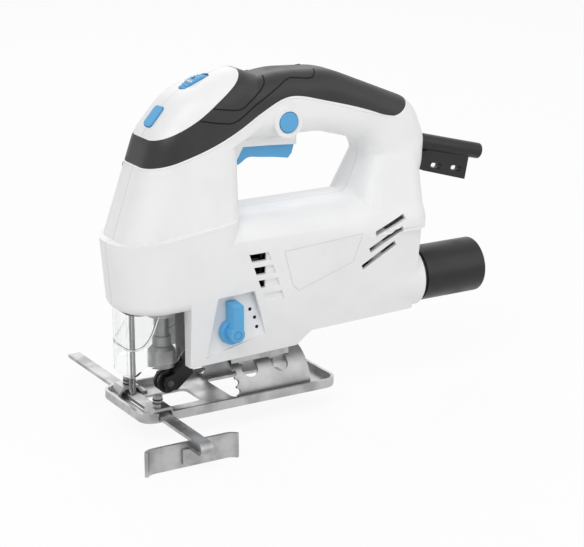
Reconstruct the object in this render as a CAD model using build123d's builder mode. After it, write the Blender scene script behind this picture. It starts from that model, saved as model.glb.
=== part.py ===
import os
from math import acos, cos, pi, radians, sin, sqrt, tan

from build123d import *

# Jigsaw power tool. Millimetres, +X forward along the cut, +Y to the tool's left, +Z up.
# The origin lies on the sole, on the centre plane, in the web between the two sole openings.
os.makedirs("parts", exist_ok=True)

# Shell thicknesses and clearances
wall = 2.6
grip_depth = 1.6
seat_gap = 0.15
running_gap = 0.4
moving_gap = 0.6
far = 400.0

# Limits that pick out the edges to round
edge_match = 0.01
edge_drift = 1.0
step_edge_height = 10.0
upright_edge_height = 30.0
side_slope = 0.7
front_slope = 0.2
top_slope = 0.5
loop_front = -8.0
loop_floor = 100.0

# Lower body: a plan outline at the skirt's lower edge, drafted outwards as it rises
skirt_floor = 28.0
body_front = 59.5
body_rear = -139.0
body_half_width = 24.2
body_draft = 4.5
nose_round = 22.0
tail_round = 12.0
nose_floor = 63.0
nose_under_round = 7.0
skirt_front = 24.0
skirt_rear = -52.0
skirt_tail = -62.0
motor_floor = 36.0
shoulder_front = 106.0
shoulder_rise = 0.121
shoulder_round = 5.0
step_round = 12.0
flank_crease_front = (-49.0, 67.0)
flank_crease_rear = (-90.0, 81.0)
flank_foot = (-80.0, 20.0, 42.0)

# Motor barrel: the crowned top of the lower body behind the head
barrel_front = -10.0
barrel_overlap = 20.0
barrel_sink = 0.5
barrel_spring = 95.0
barrel_top = 115.0
barrel_round = 18.5
barrel_tail_round = 12.0

# Head tower and its cap, as a side outline with a round at each corner
head_outline = [(62.0, 103.0), (40.5, 167.0), (22.0, 188.0), (-14.0, 202.5),
                (-40.0, 192.0), (-40.0, 172.0), (-12.0, 160.0), (-12.0, 97.0)]
head_corner_rounds = [0, 30, 40, 24, 0, 0, 0, 0]
head_plan = [(-60.0, 17.0), (0.0, 29.0), (70.0, 25.5)]
head_waist_round = 120.0
head_draft = 2.9
head_round = 16.0
head_rear_round = 9.0

# Handle loop and the hand hole through it
handle_outline = [(10.0, 186.0), (-27.0, 194.5), (-46.0, 197.0), (-80.0, 195.0),
                  (-140.0, 170.0), (-149.0, 147.0), (-145.0, 90.0), (10.0, 90.0)]
handle_corner_rounds = [0, 20, 60, 60, 24, 20, 0, 0]
hand_hole = [(-12.0, 113.0), (-12.0, 157.5), (-73.0, 157.5), (-110.5, 146.5), (-98.0, 113.0)]
hand_hole_rounds = [10, 12, 30, 12, 14]
handle_half_width = 19.0
handle_round = 13.0

# Rear pillar, flaring from the handle down to the barrel
pillar_foot = 92.0
pillar_head = 160.0
pillar_foot_span = (-144.0, -88.0)
pillar_head_span = (-143.0, -117.0)
pillar_foot_half_width = 28.9
pillar_head_half_width = 15.0
pillar_round = 11.0

cord_notch = [(-170.0, 135.0), (-147.0, 134.0), (-140.5, 125.0), (-143.5, 121.0), (-170.0, 120.0)]

# Dust outlet: spigot on the housing, duct inside and the adapter tube pushed into it
dust_height = 53.5
spigot_radius = 19.4
spigot_end = -147.0
spigot_root = -60.0
duct_radius = 15.0
duct_wall = 1.6
duct_mouth = (-58.0, 38.8, 59.0)
duct_mouth_half_width = 12.0
duct_round_from = -118.0
adapter_radius = 17.6
adapter_wall = 2.0
adapter_end = -195.0
adapter_plug = 14.0
adapter_groove = (1.6, 0.8)
adapter_lip_round = 0.8
duct_mouth_round = 3.0

# Plunger, drive gear and armature
blade_line = 31.0
motor_height = 86.0
gear_module = 0.7
pinion_teeth = 9
gear_teeth = 54
gear_span = (6.5, 13.5)
stroke = 18.0
plunger_radius = 4.4
plunger_top = 143.0
plunger_foot = 25.5
shaft_radius = 4.0

# Grip region in the side view, between its lower line and the cap's outline
grip_lower_line = [(70.0, 146.0), (46.0, 149.6), (26.0, 154.0), (6.0, 160.2), (-14.0, 168.2), (-30.0, 175.9),
                   (-46.0, 182.6), (-66.0, 179.6), (-109.0, 166.5), (-122.0, 163.4), (-131.0, 168.2),
                   (-138.0, 187.0)]
cap_line = [(-20.5, 203.0), (-11.5, 194.0), (2.0, 185.0), (13.0, 177.8), (25.0, 171.2), (41.5, 164.8),
            (70.0, 161.5)]

# Datum points that several pieces share
gear_height = motor_height + gear_module * (pinion_teeth + gear_teeth) / 2
crank_throw = stroke / 2
yoke_height = gear_height - crank_throw

# Motor and its supports
stator_radius = 24.0
stator_bore = 14.6
stator_span = (-72.0, -32.0)
coil_overhang = 7.0
armature_radius = 14.0
commutator_radius = 9.0
commutator_span = (-98.0, -86.0)
fan_radius = 22.5
fan_span = (-24.0, -12.0)
fan_blades = 16
front_bearing_radius = 11.0
rear_bearing_radius = 9.5
front_bearing_span = (-4.0, 3.0)
rear_bearing_span = (-111.0, -105.0)
brush_size = (6.0, 8.0)
brush_reach = (9.4, 16.0)
brush_holder_reach = (10.6, 22.8)
brush_holder_margin = 2.0

gear_pressure = 25.0
gear_tip_cut = 0.12
gear_thinning = 0.06
gear_dedendum = 1.2
flank_steps = 4
pinion_shift = 0.4
pinion_margin = 1.0
running_fit = 0.05
shaft_fit = 0.02
spindle_lip = 0.5
armature_slots = 12
armature_slot_depth = 6.0
armature_slot_width = 1.6
winding_radius = 12.5
winding_overhang = 6.0
winding_round = 1.6
coil_inset = 2.0
commutator_bars = 24
commutator_slot = 0.5
fan_disc = 1.6
fan_hub_radius = 8.0
fan_blade = 1.2
fan_blade_lean = 20.0
brush_spring_radius = 2.4
brush_spring_wall = 0.8

# Gear case and plunger guides
case_plate_span = (-5.0, 4.0)
case_half_width = 20.0
case_floor = 65.8
case_top = 139.0
arm_front = 40.0
arm_half_width = 10.0
lower_arm_depth = 11.0
upper_arm_depth = 8.5
bush_radius = 7.0
spindle_radius = 4.0
crank_pin_radius = 3.0
crank_roller_radius = 5.0
crank_roller_span = (14.3, 19.8)
yoke_span = (20.2, 24.4)
yoke_half_length = 17.5
yoke_half_height = 8.5
yoke_slot_half_length = 14.6
yoke_slot_half_height = 5.3
yoke_boss_half_width = 7.0
yoke_boss_front = 36.6
bore_fit = 0.02
ear_span = (10.0, 20.5)
ear_foot = 52.0
lower_arm_half_width = 12.2
collar_radius = 8.0
collar_span = (24.0, 35.0)
collar_cone = (37.5, 5.8)
collar_mouth = 4.0
collar_sleeve_radius = 5.6
collar_sleeve_span = (37.8, 43.5)
blade_slot = (2.0, 8.0)
seal_radius = 8.5
seal_bore = 6.2
seal_span = (56.2, 62.85)

# Guide fork, roller and pendulum lever
fork_pivot = (15.5, 57.0)
fork_pin_radius = 2.5
fork_boss_radius = 4.2
fork_plate_half_width = 8.5
fork_plate_span = (13.5, 17.5)
fork_ear_thickness = 3.0
roller_centre = (28.3, 13.7)
roller_radius = 6.8
roller_half_width = 3.2
roller_pin_radius = 2.0
cheek_thickness = 2.6
lever_pivot = (-2.9, 46.8)
lever_shaft_radius = 3.0
lever_hub_radius = 7.9
lever_reach = 19.4
lever_tip_lean = 1.0
lever_web = 28.0
lever_block_half_width = 5.2
lever_block_length = 8.0
lever_corner = 1.8
lever_round = 1.2
lever_ring = (1.9, 2.6, 0.5)
cam_radius = 7.0
cam_throw = 2.0
cam_half_width = 6.0
cam_shaft_end = -16.0
cam_boss_radius = 5.5
fork_foot = 24.0
fork_cheek = [(13.5, 34.0), (13.5, 18.0), (24.0, 9.2), (31.0, 9.2), (32.6, 13.7), (31.0, 18.2),
              (25.0, 19.6), (19.5, 26.0), (17.5, 34.0)]
roller_groove = (0.8, 1.0)
lever_span = (23.4, 34.0)
recess_floor = 23.0
recess_outline = [(13.4, 32.3), (6.5, 69.2), (-18.0, 70.2), (-27.4, 41.0)]

# Controls on the head and handle
dial_point = (6.5, 194.25)
dial_radius = 17.0
dial_rise = 1.8
dial_half_width = 3.6
dial_slot_length = 20.0
dial_ridges = 48
dial_groove = 0.45
dial_axle_half_length = 14.0
dial_axle_radius = 2.0
light_point = (32.5, 176.1)
light_button_size = (13.8, 9.0)
light_button_rise = 1.2
light_button_depth = 4.9
light_button_travel = 1.0
light_button_lip = 1.0
light_button_round = 2.6
light_switch_size = (8.0, 7.0)
light_switch_height = 4.7
lock_point = (-45.8, 167.7)
lock_radius = 6.15
lock_face = 21.4
lock_inner = 12.0
lock_boss_radius = 9.4
lock_boss_face = 20.4
lock_round = 1.0
trigger_pivot = (-22.5, 161.0)
trigger_half_width = 6.0
trigger_pin_radius = 1.8
trigger_pin_half_length = 9.5
trigger_belly = [(-16.7, 142.3), (-20.5, 143.0), (-25.0, 145.8), (-32.0, 145.7), (-44.0, 144.2), (-53.5, 142.6)]
trigger_back = [(-56.1, 145.4), (-57.7, 150.8), (-56.5, 159.5), (-27.0, 163.8), (-18.6, 163.6), (-18.9, 152.0)]
trigger_slot = (-58.6, -17.6, 162.0)
trigger_cheek = [(-57.5, 161.0), (-57.5, 151.3), (-38.0, 152.7), (-21.0, 153.6), (-16.5, 146.0), (-12.0, 140.0),
                 (-10.0, 140.0), (-10.0, 161.0)]
speed_board_depth = 7.0
speed_board_half_width = 7.0
speed_board_step = 2.0
switch_low = (-60.0, -8.0, 165.0)
switch_high = (-26.0, 8.0, 186.0)

# Vents in the flanks
front_vent_start = (-14.5, 91.0)
front_vent_step = (-3.4, -8.6)
front_vent_size = (13.2, 5.0)
front_vent_lean = 0.4
front_vent_count = 4
front_vent_open_to = -25.7
front_vent_depth = 1.3
rear_vents = [((-102.5, 93.6), (-123.4, 101.8)), ((-99.5, 82.8), (-122.4, 94.5)),
              ((-95.3, 72.2), (-118.8, 85.1))]
rear_vent_width = 3.6
rear_vent_floor = 14.0

# Cord sleeve with the hex key holder
cord_exit = (-146.0, 141.6)
cord_tip = (-198.5, 128.4)
sleeve_radius = 5.7
sleeve_tip_radius = 5.0
sleeve_bore = 3.6
sleeve_collar_radius = 6.8
key_holder = [(-157.0, 135.0), (-189.5, 127.0), (-186.5, 111.8), (-154.0, 121.5)]
key_holder_half_width = 3.2
key_slots = [(-164.0, 123.3), (-179.5, 119.8)]
key_slot_size = (8.0, 3.2)
key_slot_round = 1.4
key_slot_lean = 14.0
sleeve_collar_span = (-7.0, -4.2)
cord_clamp_span = (-131.5, -126.5)
cord_clamp_half_width = 10.0
cord_clamp_height = 6.0
cord_rib_top = 131.0

# Housing screws, in the side view
screw_points = [(41.5, 145.0), (50.0, 82.0), (-80.0, 167.0), (-128.0, 160.0), (-134.0, 100.0), (-20.0, 42.0)]
screw_radius = 1.6
screw_head_radius = 3.2
screw_head_depth = 2.4
screw_boss_radius = 4.6
screw_sink = 1.2
screw_reach = 9.0
screw_key_radius = 1.5
screw_key_depth = 1.4

# Ribs and bosses inside the housing
stator_ribs_at = (-40.0, -64.0)
rib_thickness = 3.0
stator_rib_floor = 66.0
bearing_rib_floor = 72.0
case_rib_half_gap = 16.0
dial_boss_radius = 3.8
trigger_boss_radius = 3.6
switch_ribs_at = (-30.0, -56.0)
mount_ribs_at = (-46.0, -12.0)
mount_rib_height = 5.0
cord_rib_span = (-134.0, -125.0)
wire_boss = (47.6, 52.8, 6.0, 72.0)
lens_span = (53.4, 59.0)
lens_half_width = 4.0
lens_top = 68.0
recess_back = 20.4
recess_margin = 2.4

# Base, saddle and fence
sole_thickness = 1.8
sole_front = 58.0
sole_rear = -76.0
sole_half_width = 30.0
sole_rim = 6.0
sole_corner = 9.0
blade_opening = (9.5, 48.5)
blade_opening_half_width = 12.0
saddle_opening = (-58.0, -8.0)
saddle_opening_half_width = 18.0
bevel_height = 2.0
saddle_radius = 24.0
saddle_thickness = 1.8
saddle_span = (-59.0, -8.0)
saddle_foot = 3.6
saddle_bolts_at = (-19.6, -40.6)
bevel_limit = 45.0
saddle_slot_width = 11.0
saddle_tooth_count = 3
bolt_radius = 2.5
bolt_head_radius = 4.2
bolt_head_height = 4.4
clamp_thickness = 4.5
clamp_half_angle = 24.0
mount_top = 34.0
mount_span = (-49.0, -9.0)
mount_half_width = 16.3
mount_keel_half_width = 14.0
bolt_cover = 1.0
bolt_key_radius = 2.2
bolt_key_depth = 2.4
clamp_span = (-52.0, -14.0)
clamp_boss_radius = 4.6
saddle_slot_spare = 2.0
saddle_tooth_from = 50.0
saddle_tooth_step = 14.0
saddle_tooth_radius = 2.1
sole_edge_round = 1.5
sole_opening_round = 4.0
bridge_leg = 3.6
bar_centre = 44.0
bar_width = 8.0
bar_thickness = 2.0
bar_floor = 2.1
bar_far_end = -99.0
bar_near_end = 82.0
fence_face = 66.0
fence_thickness = 2.0
fence_span = (18.0, 77.0)
fence_bottom = -13.0
fence_top = 1.95
fence_flare_round = 8.0
fence_flare = 55.0
bar_fold = 7.0
bridge_span = (33.0, 55.0)
bridge_inner = 16.0
bridge_outer = 27.6
bridge_height = 8.0
bridge_thickness = 1.6
fence_screws_at = ((45.0, 22.0), (43.0, -22.0))
fence_screw_radius = 2.0
fence_screw_head = 2.9
fence_screw_knob = 4.6
fence_screw_tops = (14.6, 12.6)
fence_screw_flutes = 14
fence_screw_flute = 0.35

# Guards under the nose
guard_front = 58.0
guard_rear = 14.0
guard_half_width = 17.2
guard_wall = 1.8
guard_top = 62.9
guard_corner = 10.0
guard_bottom_arc = (44.0, 23.5)
guard_scoop = [(12.0, 43.0), (20.0, 40.0), (26.0, 35.5), (29.5, 31.0), (35.0, 29.8), (50.0, 29.5), (55.0, 24.0)]
wire_line = 50.6
wire_half_gap = 2.6
wire_radius = 0.9
wire_bottom = 9.4
wire_top = 70.0
window_half_width = 17.5


def flare(height):
    """Outward growth of the lower body's sides at a height."""
    return (height - skirt_floor) * tan(radians(body_draft))


def side_face(*points):
    """A straight sided face in the side view."""
    with BuildSketch(Plane.XZ) as face:
        with BuildLine():
            Polyline(*points, close=True)
        make_face()
    return face.sketch


def edge_normals(block, edge):
    """Outward directions of the two faces that meet at an edge, the more upright one first."""
    middle = edge.position_at(0.5)
    pair = [face for face in block.faces() if any(side.is_same(edge) for side in face.edges())]
    return sorted((face.normal_at(middle) for face in pair), key=lambda normal: abs(normal.Y))


def lower_block(inset):
    """Nose, motor case and skirt in one drafted block, its faces set in by the inset."""
    half = body_half_width - inset
    front = body_front - inset
    rear = body_rear + inset
    tip = body_front + flare(shoulder_front)
    with BuildPart() as block:
        with BuildSketch(Plane.XY.offset(skirt_floor)):
            with BuildLine():
                FilletPolyline((rear, -half), (front, -half), (front, half), (rear, half),
                               radius=[tail_round, nose_round - inset, nose_round - inset, tail_round],
                               close=True)
            make_face()
        extrude(amount=barrel_top - skirt_floor, taper=-body_draft)
        under_nose = side_face((skirt_front - inset, 0), (skirt_front - inset, nose_floor + inset),
                               (far, nose_floor + inset), (far, 0))
        under_motor = side_face((skirt_rear + inset, 0), (skirt_rear + inset, skirt_floor),
                                (skirt_tail + inset, motor_floor + inset),
                                (-far, motor_floor + inset), (-far, 0))
        over_barrel = side_face((barrel_front + inset, far), (barrel_front + inset, barrel_spring),
                                (-far, barrel_spring), (-far, far))
        over_shoulder = side_face((tip + far, shoulder_front - inset - shoulder_rise * far),
                                  (barrel_front, shoulder_front - inset + shoulder_rise * (tip - barrel_front)),
                                  (barrel_front, far), (tip + far, far))
        for face in (under_nose, under_motor, over_barrel, over_shoulder):
            extrude(face, amount=far, both=True, mode=Mode.SUBTRACT)
        for side in (1, -1):
            crease_y = side * (body_half_width + flare(flank_crease_front[1]) - inset)
            crease_start = Vector(flank_crease_front[0], crease_y, flank_crease_front[1])
            crease_end = Vector(flank_crease_rear[0], crease_y, flank_crease_rear[1])
            foot = Vector(flank_foot[0], side * (flank_foot[1] - inset), flank_foot[2])
            along = crease_end - crease_start
            normal = along.cross(foot - crease_start)
            if normal.Y * side < 0:
                normal = normal * -1
            split(bisect_by=Plane(origin=crease_start, x_dir=along, z_dir=normal), keep=Keep.BOTTOM)
        step = [edge for edge in block.edges()
                if abs(edge.center().X - barrel_front - inset) < edge_match and abs(edge.center().Y) > half
                and edge.bounding_box().size.Z > step_edge_height]
        fillet(step, step_round - inset)
        if inset == 0:
            shoulder = block.faces().sort_by(Axis.Z)[-1]
            forward = shoulder.edges().filter_by(lambda edge: edge.center().X > barrel_front + edge_drift)
            fillet(forward, shoulder_round)
            under = [edge for edge in block.edges()
                     if abs(edge.center().Z - nose_floor) < edge_match
                     and edge.bounding_box().size.Z < edge_match
                     and edge.center().X > skirt_front + edge_drift]
            fillet(under, nose_under_round)
    return block.part


def barrel_block(inset):
    """Crowned top of the motor case."""
    half = body_half_width + flare(barrel_spring) - inset
    front = barrel_front + barrel_overlap - inset
    rear = body_rear - flare(barrel_spring) + inset
    low = barrel_spring - barrel_sink
    top = barrel_top - inset
    with BuildPart() as block:
        with BuildSketch(Plane.YZ.offset(front)):
            with BuildLine():
                FilletPolyline((-half, low), (-half, top), (half, top), (half, low),
                               radius=[0, barrel_round - inset, barrel_round - inset, 0], close=True)
            make_face()
        extrude(amount=rear - front)
        end_face = block.faces().sort_by(Axis.X)[0]
        tail = end_face.edges().filter_by(lambda edge: edge.center().Z > low + edge_match)
        fillet(tail, barrel_tail_round - inset)
    return block.part


def head_block(inset):
    """Head tower with its cap, leaning sides that close towards the handle."""
    with BuildPart() as block:
        with BuildSketch(Plane.XY.offset(head_outline[-1][1] - head_round)):
            with BuildLine():
                right = [(along, inset - half) for along, half in head_plan]
                left = [(along, half - inset) for along, half in reversed(head_plan)]
                FilletPolyline(right + left, close=True,
                               radius=[0, head_waist_round, 0, 0, head_waist_round, 0])
            make_face()
        extrude(amount=head_outline[3][1] - head_outline[-1][1] + 2 * head_round, taper=head_draft)
        with BuildSketch(Plane.XZ.offset(-far)):
            with BuildLine():
                FilletPolyline(head_outline, radius=head_corner_rounds, close=True)
            make_face()
            if inset:
                offset(amount=-inset, kind=Kind.INTERSECTION)
        extrude(amount=2 * far, mode=Mode.INTERSECT)
        rear = head_outline[-1][0] + inset
        uprights = [edge for edge in block.edges()
                    if edge.bounding_box().size.Z > upright_edge_height
                    and edge.bounding_box().size.X < edge_drift
                    and abs(edge.center().X - rear) < edge_drift]
        fillet(uprights, head_rear_round - inset)
        rim = []
        for edge in block.edges():
            normals = edge_normals(block, edge)
            if len(normals) == 2 and abs(normals[0].Y) < side_slope < abs(normals[1].Y):
                if normals[0].X > front_slope or normals[0].Z > top_slope:
                    rim.append(edge)
        fillet(rim, head_round - inset)
    return block.part


def handle_block(inset):
    """Handle loop round the hand hole, with fully rounded edges."""
    with BuildPart() as block:
        with BuildSketch(Plane.XZ):
            with BuildLine():
                FilletPolyline(handle_outline, radius=handle_corner_rounds, close=True)
            make_face()
            with BuildLine():
                FilletPolyline(hand_hole, radius=hand_hole_rounds, close=True)
            make_face(mode=Mode.SUBTRACT)
            if inset:
                offset(amount=-inset)
        extrude(amount=handle_half_width - inset, both=True)
        rim = [edge for face in block.faces().filter_by(Axis.Y) for edge in face.edges()
               if edge.center().X < loop_front and edge.center().Z > loop_floor]
        fillet(rim, handle_round - inset)
    return block.part


def pillar_block(inset):
    """Rear pillar, lofted from the barrel's width to the handle's."""
    with BuildPart() as block:
        for height, span, half in ((pillar_foot, pillar_foot_span, pillar_foot_half_width),
                                   (pillar_head, pillar_head_span, pillar_head_half_width)):
            with BuildSketch(Plane.XY.offset(height)):
                with BuildLine():
                    FilletPolyline((span[0] + inset, inset - half), (span[1] - inset, inset - half),
                                   (span[1] - inset, half - inset), (span[0] + inset, half - inset),
                                   radius=pillar_round - inset, close=True)
                make_face()
        loft(ruled=True)
    return block.part


def spigot_block(inset):
    """Round dust outlet along the underside of the motor case."""
    with BuildPart() as block:
        with BuildSketch(Plane.YZ.offset(spigot_root)):
            with Locations((0, dust_height)):
                Circle(spigot_radius - inset)
        extrude(amount=spigot_end - spigot_root)
    return block.part


def body_block(inset):
    """The whole outer form, or the same form set in by the inset."""
    with BuildPart() as whole:
        add(lower_block(inset))
        add(barrel_block(inset))
        add(head_block(inset))
        add(handle_block(inset))
        add(pillar_block(inset))
        with BuildSketch(Plane.XZ):
            with BuildLine():
                Polyline(*cord_notch, close=True)
            make_face()
            if inset:
                offset(amount=inset, kind=Kind.INTERSECTION)
        extrude(amount=far, both=True, mode=Mode.SUBTRACT)
        add(spigot_block(inset))
    return whole.part


def side_rod(across, height, radius, start, end):
    """A round bar along Y between two side positions."""
    with BuildPart() as rod:
        with BuildSketch(Plane.XZ.offset(-end)):
            with Locations((across, height)):
                Circle(radius)
        extrude(amount=end - start)
    return rod.part


def along_rod(height, radius, start, end, aside=0):
    """A round bar along X between two fore and aft positions."""
    with BuildPart() as rod:
        with BuildSketch(Plane.YZ.offset(start)):
            with Locations((aside, height)):
                Circle(radius)
        extrude(amount=end - start)
    return rod.part


def upright_rod(across, radius, start, end, aside=0):
    """A round bar along Z between two heights."""
    with BuildPart() as rod:
        with BuildSketch(Plane.XY.offset(start)):
            with Locations((across, aside)):
                Circle(radius)
        extrude(amount=end - start)
    return rod.part


def block_between(low, high):
    """A square block between two opposite corners."""
    with BuildPart() as block:
        with BuildSketch(Plane.XY.offset(low[2])):
            with Locations(((low[0] + high[0]) / 2, (low[1] + high[1]) / 2)):
                Rectangle(high[0] - low[0], high[1] - low[1])
        extrude(amount=high[2] - low[2])
    return block.part


def frame_plane(point, direction):
    """A plane on the centre plane, with X along a side view direction and Z to its outer side."""
    along = Vector(direction[0], 0, direction[1])
    return Plane(origin=(point[0], 0, point[1]), x_dir=along, z_dir=Vector(-direction[1], 0, direction[0]))


facet_direction = (head_outline[2][0] - head_outline[3][0], head_outline[2][1] - head_outline[3][1])
brow_direction = (head_outline[1][0] - head_outline[2][0], head_outline[1][1] - head_outline[2][1])
dial_plane = frame_plane(dial_point, facet_direction)
light_plane = frame_plane(light_point, brow_direction)


def gear_outline(teeth, shift):
    """Corner points of a spur gear: involute flanks drawn with a few straight steps."""
    pitch = gear_module * teeth / 2
    base = pitch * cos(radians(gear_pressure))
    tip = pitch + gear_module * (1 + shift) - gear_tip_cut
    root = pitch - gear_module * (gear_dedendum - shift)
    slope = tan(radians(gear_pressure))
    half_tooth = (pi / 2 + 2 * shift * slope) / teeth + slope - radians(gear_pressure) - gear_thinning / pitch
    flank = []
    start = max(root, base)
    for step in range(flank_steps + 1):
        radius = start + (tip - start) * step / flank_steps
        roll = acos(base / radius)
        flank.append((radius, half_tooth - (tan(roll) - roll)))
    points = []
    for tooth in range(teeth):
        middle = 2 * pi * tooth / teeth
        if root < base:
            points.append((root, middle - flank[0][1]))
        points.extend((radius, middle - angle) for radius, angle in flank)
        points.extend((radius, middle + angle) for radius, angle in reversed(flank))
        if root < base:
            points.append((root, middle + flank[0][1]))
    return points


def gear_face(points, turn, height, place):
    """A gear's face in a plane square to X, turned by an angle."""
    with BuildSketch(Plane.YZ.offset(place)) as face:
        with BuildLine():
            Polyline(*[(radius * cos(angle + turn), height + radius * sin(angle + turn))
                       for radius, angle in points], close=True)
        make_face()
    return face.sketch


# Drive gear and pinion
with BuildPart() as drive_gear:
    extrude(gear_face(gear_outline(gear_teeth, -pinion_shift), -pi / 2, gear_height, gear_span[0]),
            amount=gear_span[1] - gear_span[0])
    add(along_rod(gear_height, spindle_radius + running_fit, *gear_span), mode=Mode.SUBTRACT)
    add(along_rod(yoke_height, crank_pin_radius + shaft_fit, *gear_span), mode=Mode.SUBTRACT)
drive_gear.part.label = "drive_gear"
export_step(drive_gear.part, "parts/drive_gear.step")

with BuildPart() as crank_pin:
    add(along_rod(yoke_height, crank_pin_radius, gear_span[0], crank_roller_span[1]))
crank_pin.part.label = "crank_pin"
export_step(crank_pin.part, "parts/crank_pin.step")

with BuildPart() as crank_roller:
    add(along_rod(yoke_height, crank_roller_radius, *crank_roller_span))
    add(along_rod(yoke_height, crank_pin_radius + shaft_fit, *crank_roller_span), mode=Mode.SUBTRACT)
crank_roller.part.label = "crank_roller"
export_step(crank_roller.part, "parts/crank_roller.step")

with BuildPart() as gear_spindle:
    add(along_rod(gear_height, spindle_radius, case_plate_span[0], gear_span[1] + spindle_lip))
gear_spindle.part.label = "gear_spindle"
export_step(gear_spindle.part, "parts/gear_spindle.step")

with BuildPart() as armature_shaft:
    add(along_rod(motor_height, shaft_radius, rear_bearing_span[0], gear_span[0] - pinion_margin))
    extrude(gear_face(gear_outline(pinion_teeth, pinion_shift), pi / 2 + pi / pinion_teeth, motor_height,
                      gear_span[0] - pinion_margin),
            amount=gear_span[1] - gear_span[0] + 2 * pinion_margin)
armature_shaft.part.label = "armature_shaft"
export_step(armature_shaft.part, "parts/armature_shaft.step")


def sleeve_along(height, outer, inner, start, end):
    """A round sleeve along X."""
    with BuildPart() as sleeve:
        add(along_rod(height, outer, start, end))
        add(along_rod(height, inner, start, end), mode=Mode.SUBTRACT)
    return sleeve.part


shaft_seat = shaft_radius + shaft_fit
with BuildPart() as front_bearing:
    add(sleeve_along(motor_height, front_bearing_radius, shaft_seat, *front_bearing_span))
front_bearing.part.label = "front_bearing"
export_step(front_bearing.part, "parts/front_bearing.step")

with BuildPart() as rear_bearing:
    add(sleeve_along(motor_height, rear_bearing_radius, shaft_seat, *rear_bearing_span))
rear_bearing.part.label = "rear_bearing"
export_step(rear_bearing.part, "parts/rear_bearing.step")

with BuildPart() as armature_core:
    add(sleeve_along(motor_height, armature_radius, shaft_seat, *stator_span))
    with BuildSketch(Plane.YZ.offset(stator_span[0])):
        with Locations((0, motor_height)):
            with PolarLocations(armature_radius, armature_slots):
                Rectangle(armature_slot_depth, armature_slot_width)
    extrude(amount=stator_span[1] - stator_span[0], mode=Mode.SUBTRACT)
armature_core.part.label = "armature_core"
export_step(armature_core.part, "parts/armature_core.step")

with BuildPart() as armature_winding:
    add(sleeve_along(motor_height, winding_radius, shaft_seat, stator_span[0] - winding_overhang,
                     stator_span[0] - seat_gap))
    add(sleeve_along(motor_height, winding_radius, shaft_seat, stator_span[1] + seat_gap,
                     stator_span[1] + winding_overhang))
    fillet(armature_winding.edges().filter_by(GeomType.CIRCLE).filter_by(
        lambda edge: abs(edge.radius - winding_radius) < 0.01), winding_round)
armature_winding.part.label = "armature_winding"
export_step(armature_winding.part, "parts/armature_winding.step")

with BuildPart() as commutator:
    add(sleeve_along(motor_height, commutator_radius, shaft_seat, *commutator_span))
    with BuildSketch(Plane.YZ.offset(commutator_span[0])):
        with Locations((0, motor_height)):
            with PolarLocations(commutator_radius, commutator_bars):
                Rectangle(2 * commutator_slot, commutator_slot)
    extrude(amount=commutator_span[1] - commutator_span[0], mode=Mode.SUBTRACT)
commutator.part.label = "commutator"
export_step(commutator.part, "parts/commutator.step")

with BuildPart() as fan:
    add(sleeve_along(motor_height, fan_radius, shaft_seat, fan_span[1] - fan_disc, fan_span[1]))
    add(sleeve_along(motor_height, fan_hub_radius, shaft_seat, *fan_span))
    with BuildSketch(Plane.YZ.offset(fan_span[0])):
        with Locations((0, motor_height)):
            with PolarLocations((fan_hub_radius + fan_radius) / 2 + fan_disc, fan_blades):
                Rectangle(fan_radius - fan_hub_radius - 2 * fan_disc, fan_blade, rotation=fan_blade_lean)
    extrude(amount=fan_span[1] - fan_span[0])
fan.part.label = "fan"
export_step(fan.part, "parts/fan.step")

with BuildPart() as stator_core:
    add(sleeve_along(motor_height, stator_radius, stator_bore, *stator_span))
stator_core.part.label = "stator_core"
export_step(stator_core.part, "parts/stator_core.step")

with BuildPart() as field_coils:
    add(sleeve_along(motor_height, stator_radius - coil_inset, stator_bore + seat_gap,
                     stator_span[0] - coil_overhang, stator_span[0] - seat_gap))
    add(sleeve_along(motor_height, stator_radius - coil_inset, stator_bore + seat_gap,
                     stator_span[1] + seat_gap, stator_span[1] + coil_overhang))
    fillet(field_coils.edges().filter_by(GeomType.CIRCLE).filter_by(
        lambda edge: edge.radius > stator_bore + 1), winding_round)
field_coils.part.label = "field_coils"
export_step(field_coils.part, "parts/field_coils.step")

commutator_middle = (commutator_span[0] + commutator_span[1]) / 2
with BuildPart() as brush_holders:
    for side in (1, -1):
        low, high = sorted((side * brush_holder_reach[0], side * brush_holder_reach[1]))
        half = brush_size[0] / 2 + brush_holder_margin
        tall = brush_size[1] / 2 + brush_holder_margin
        add(block_between((commutator_middle - half, low, motor_height - tall),
                          (commutator_middle + half, high, motor_height + tall)))
        half = brush_size[0] / 2 + seat_gap
        tall = brush_size[1] / 2 + seat_gap
        hollow = side * (brush_holder_reach[1] - brush_holder_margin)
        low, high = sorted((side * (brush_holder_reach[0] - 1), hollow))
        add(block_between((commutator_middle - half, low, motor_height - tall),
                          (commutator_middle + half, high, motor_height + tall)), mode=Mode.SUBTRACT)
brush_holders.part.label = "brush_holders"
export_step(brush_holders.part, "parts/brush_holders.step")

with BuildPart() as carbon_brushes:
    for side in (1, -1):
        low, high = sorted((side * brush_reach[0], side * brush_reach[1]))
        add(block_between((commutator_middle - brush_size[0] / 2, low, motor_height - brush_size[1] / 2),
                          (commutator_middle + brush_size[0] / 2, high, motor_height + brush_size[1] / 2)))
carbon_brushes.part.label = "carbon_brushes"
export_step(carbon_brushes.part, "parts/carbon_brushes.step")

with BuildPart() as brush_springs:
    for side in (1, -1):
        inner = brush_reach[1] + seat_gap
        outer = brush_holder_reach[1] - brush_holder_margin - seat_gap
        low, high = sorted((side * inner, side * outer))
        add(side_rod(commutator_middle, motor_height, brush_spring_radius, low, high))
        bore = brush_spring_radius - brush_spring_wall
        add(side_rod(commutator_middle, motor_height, bore, low, high), mode=Mode.SUBTRACT)
brush_springs.part.label = "brush_springs"
export_step(brush_springs.part, "parts/brush_springs.step")


def case_bore(radius, start, end):
    """A round bore for the plunger's guides."""
    return upright_rod(blade_line, radius, start, end)


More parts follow.
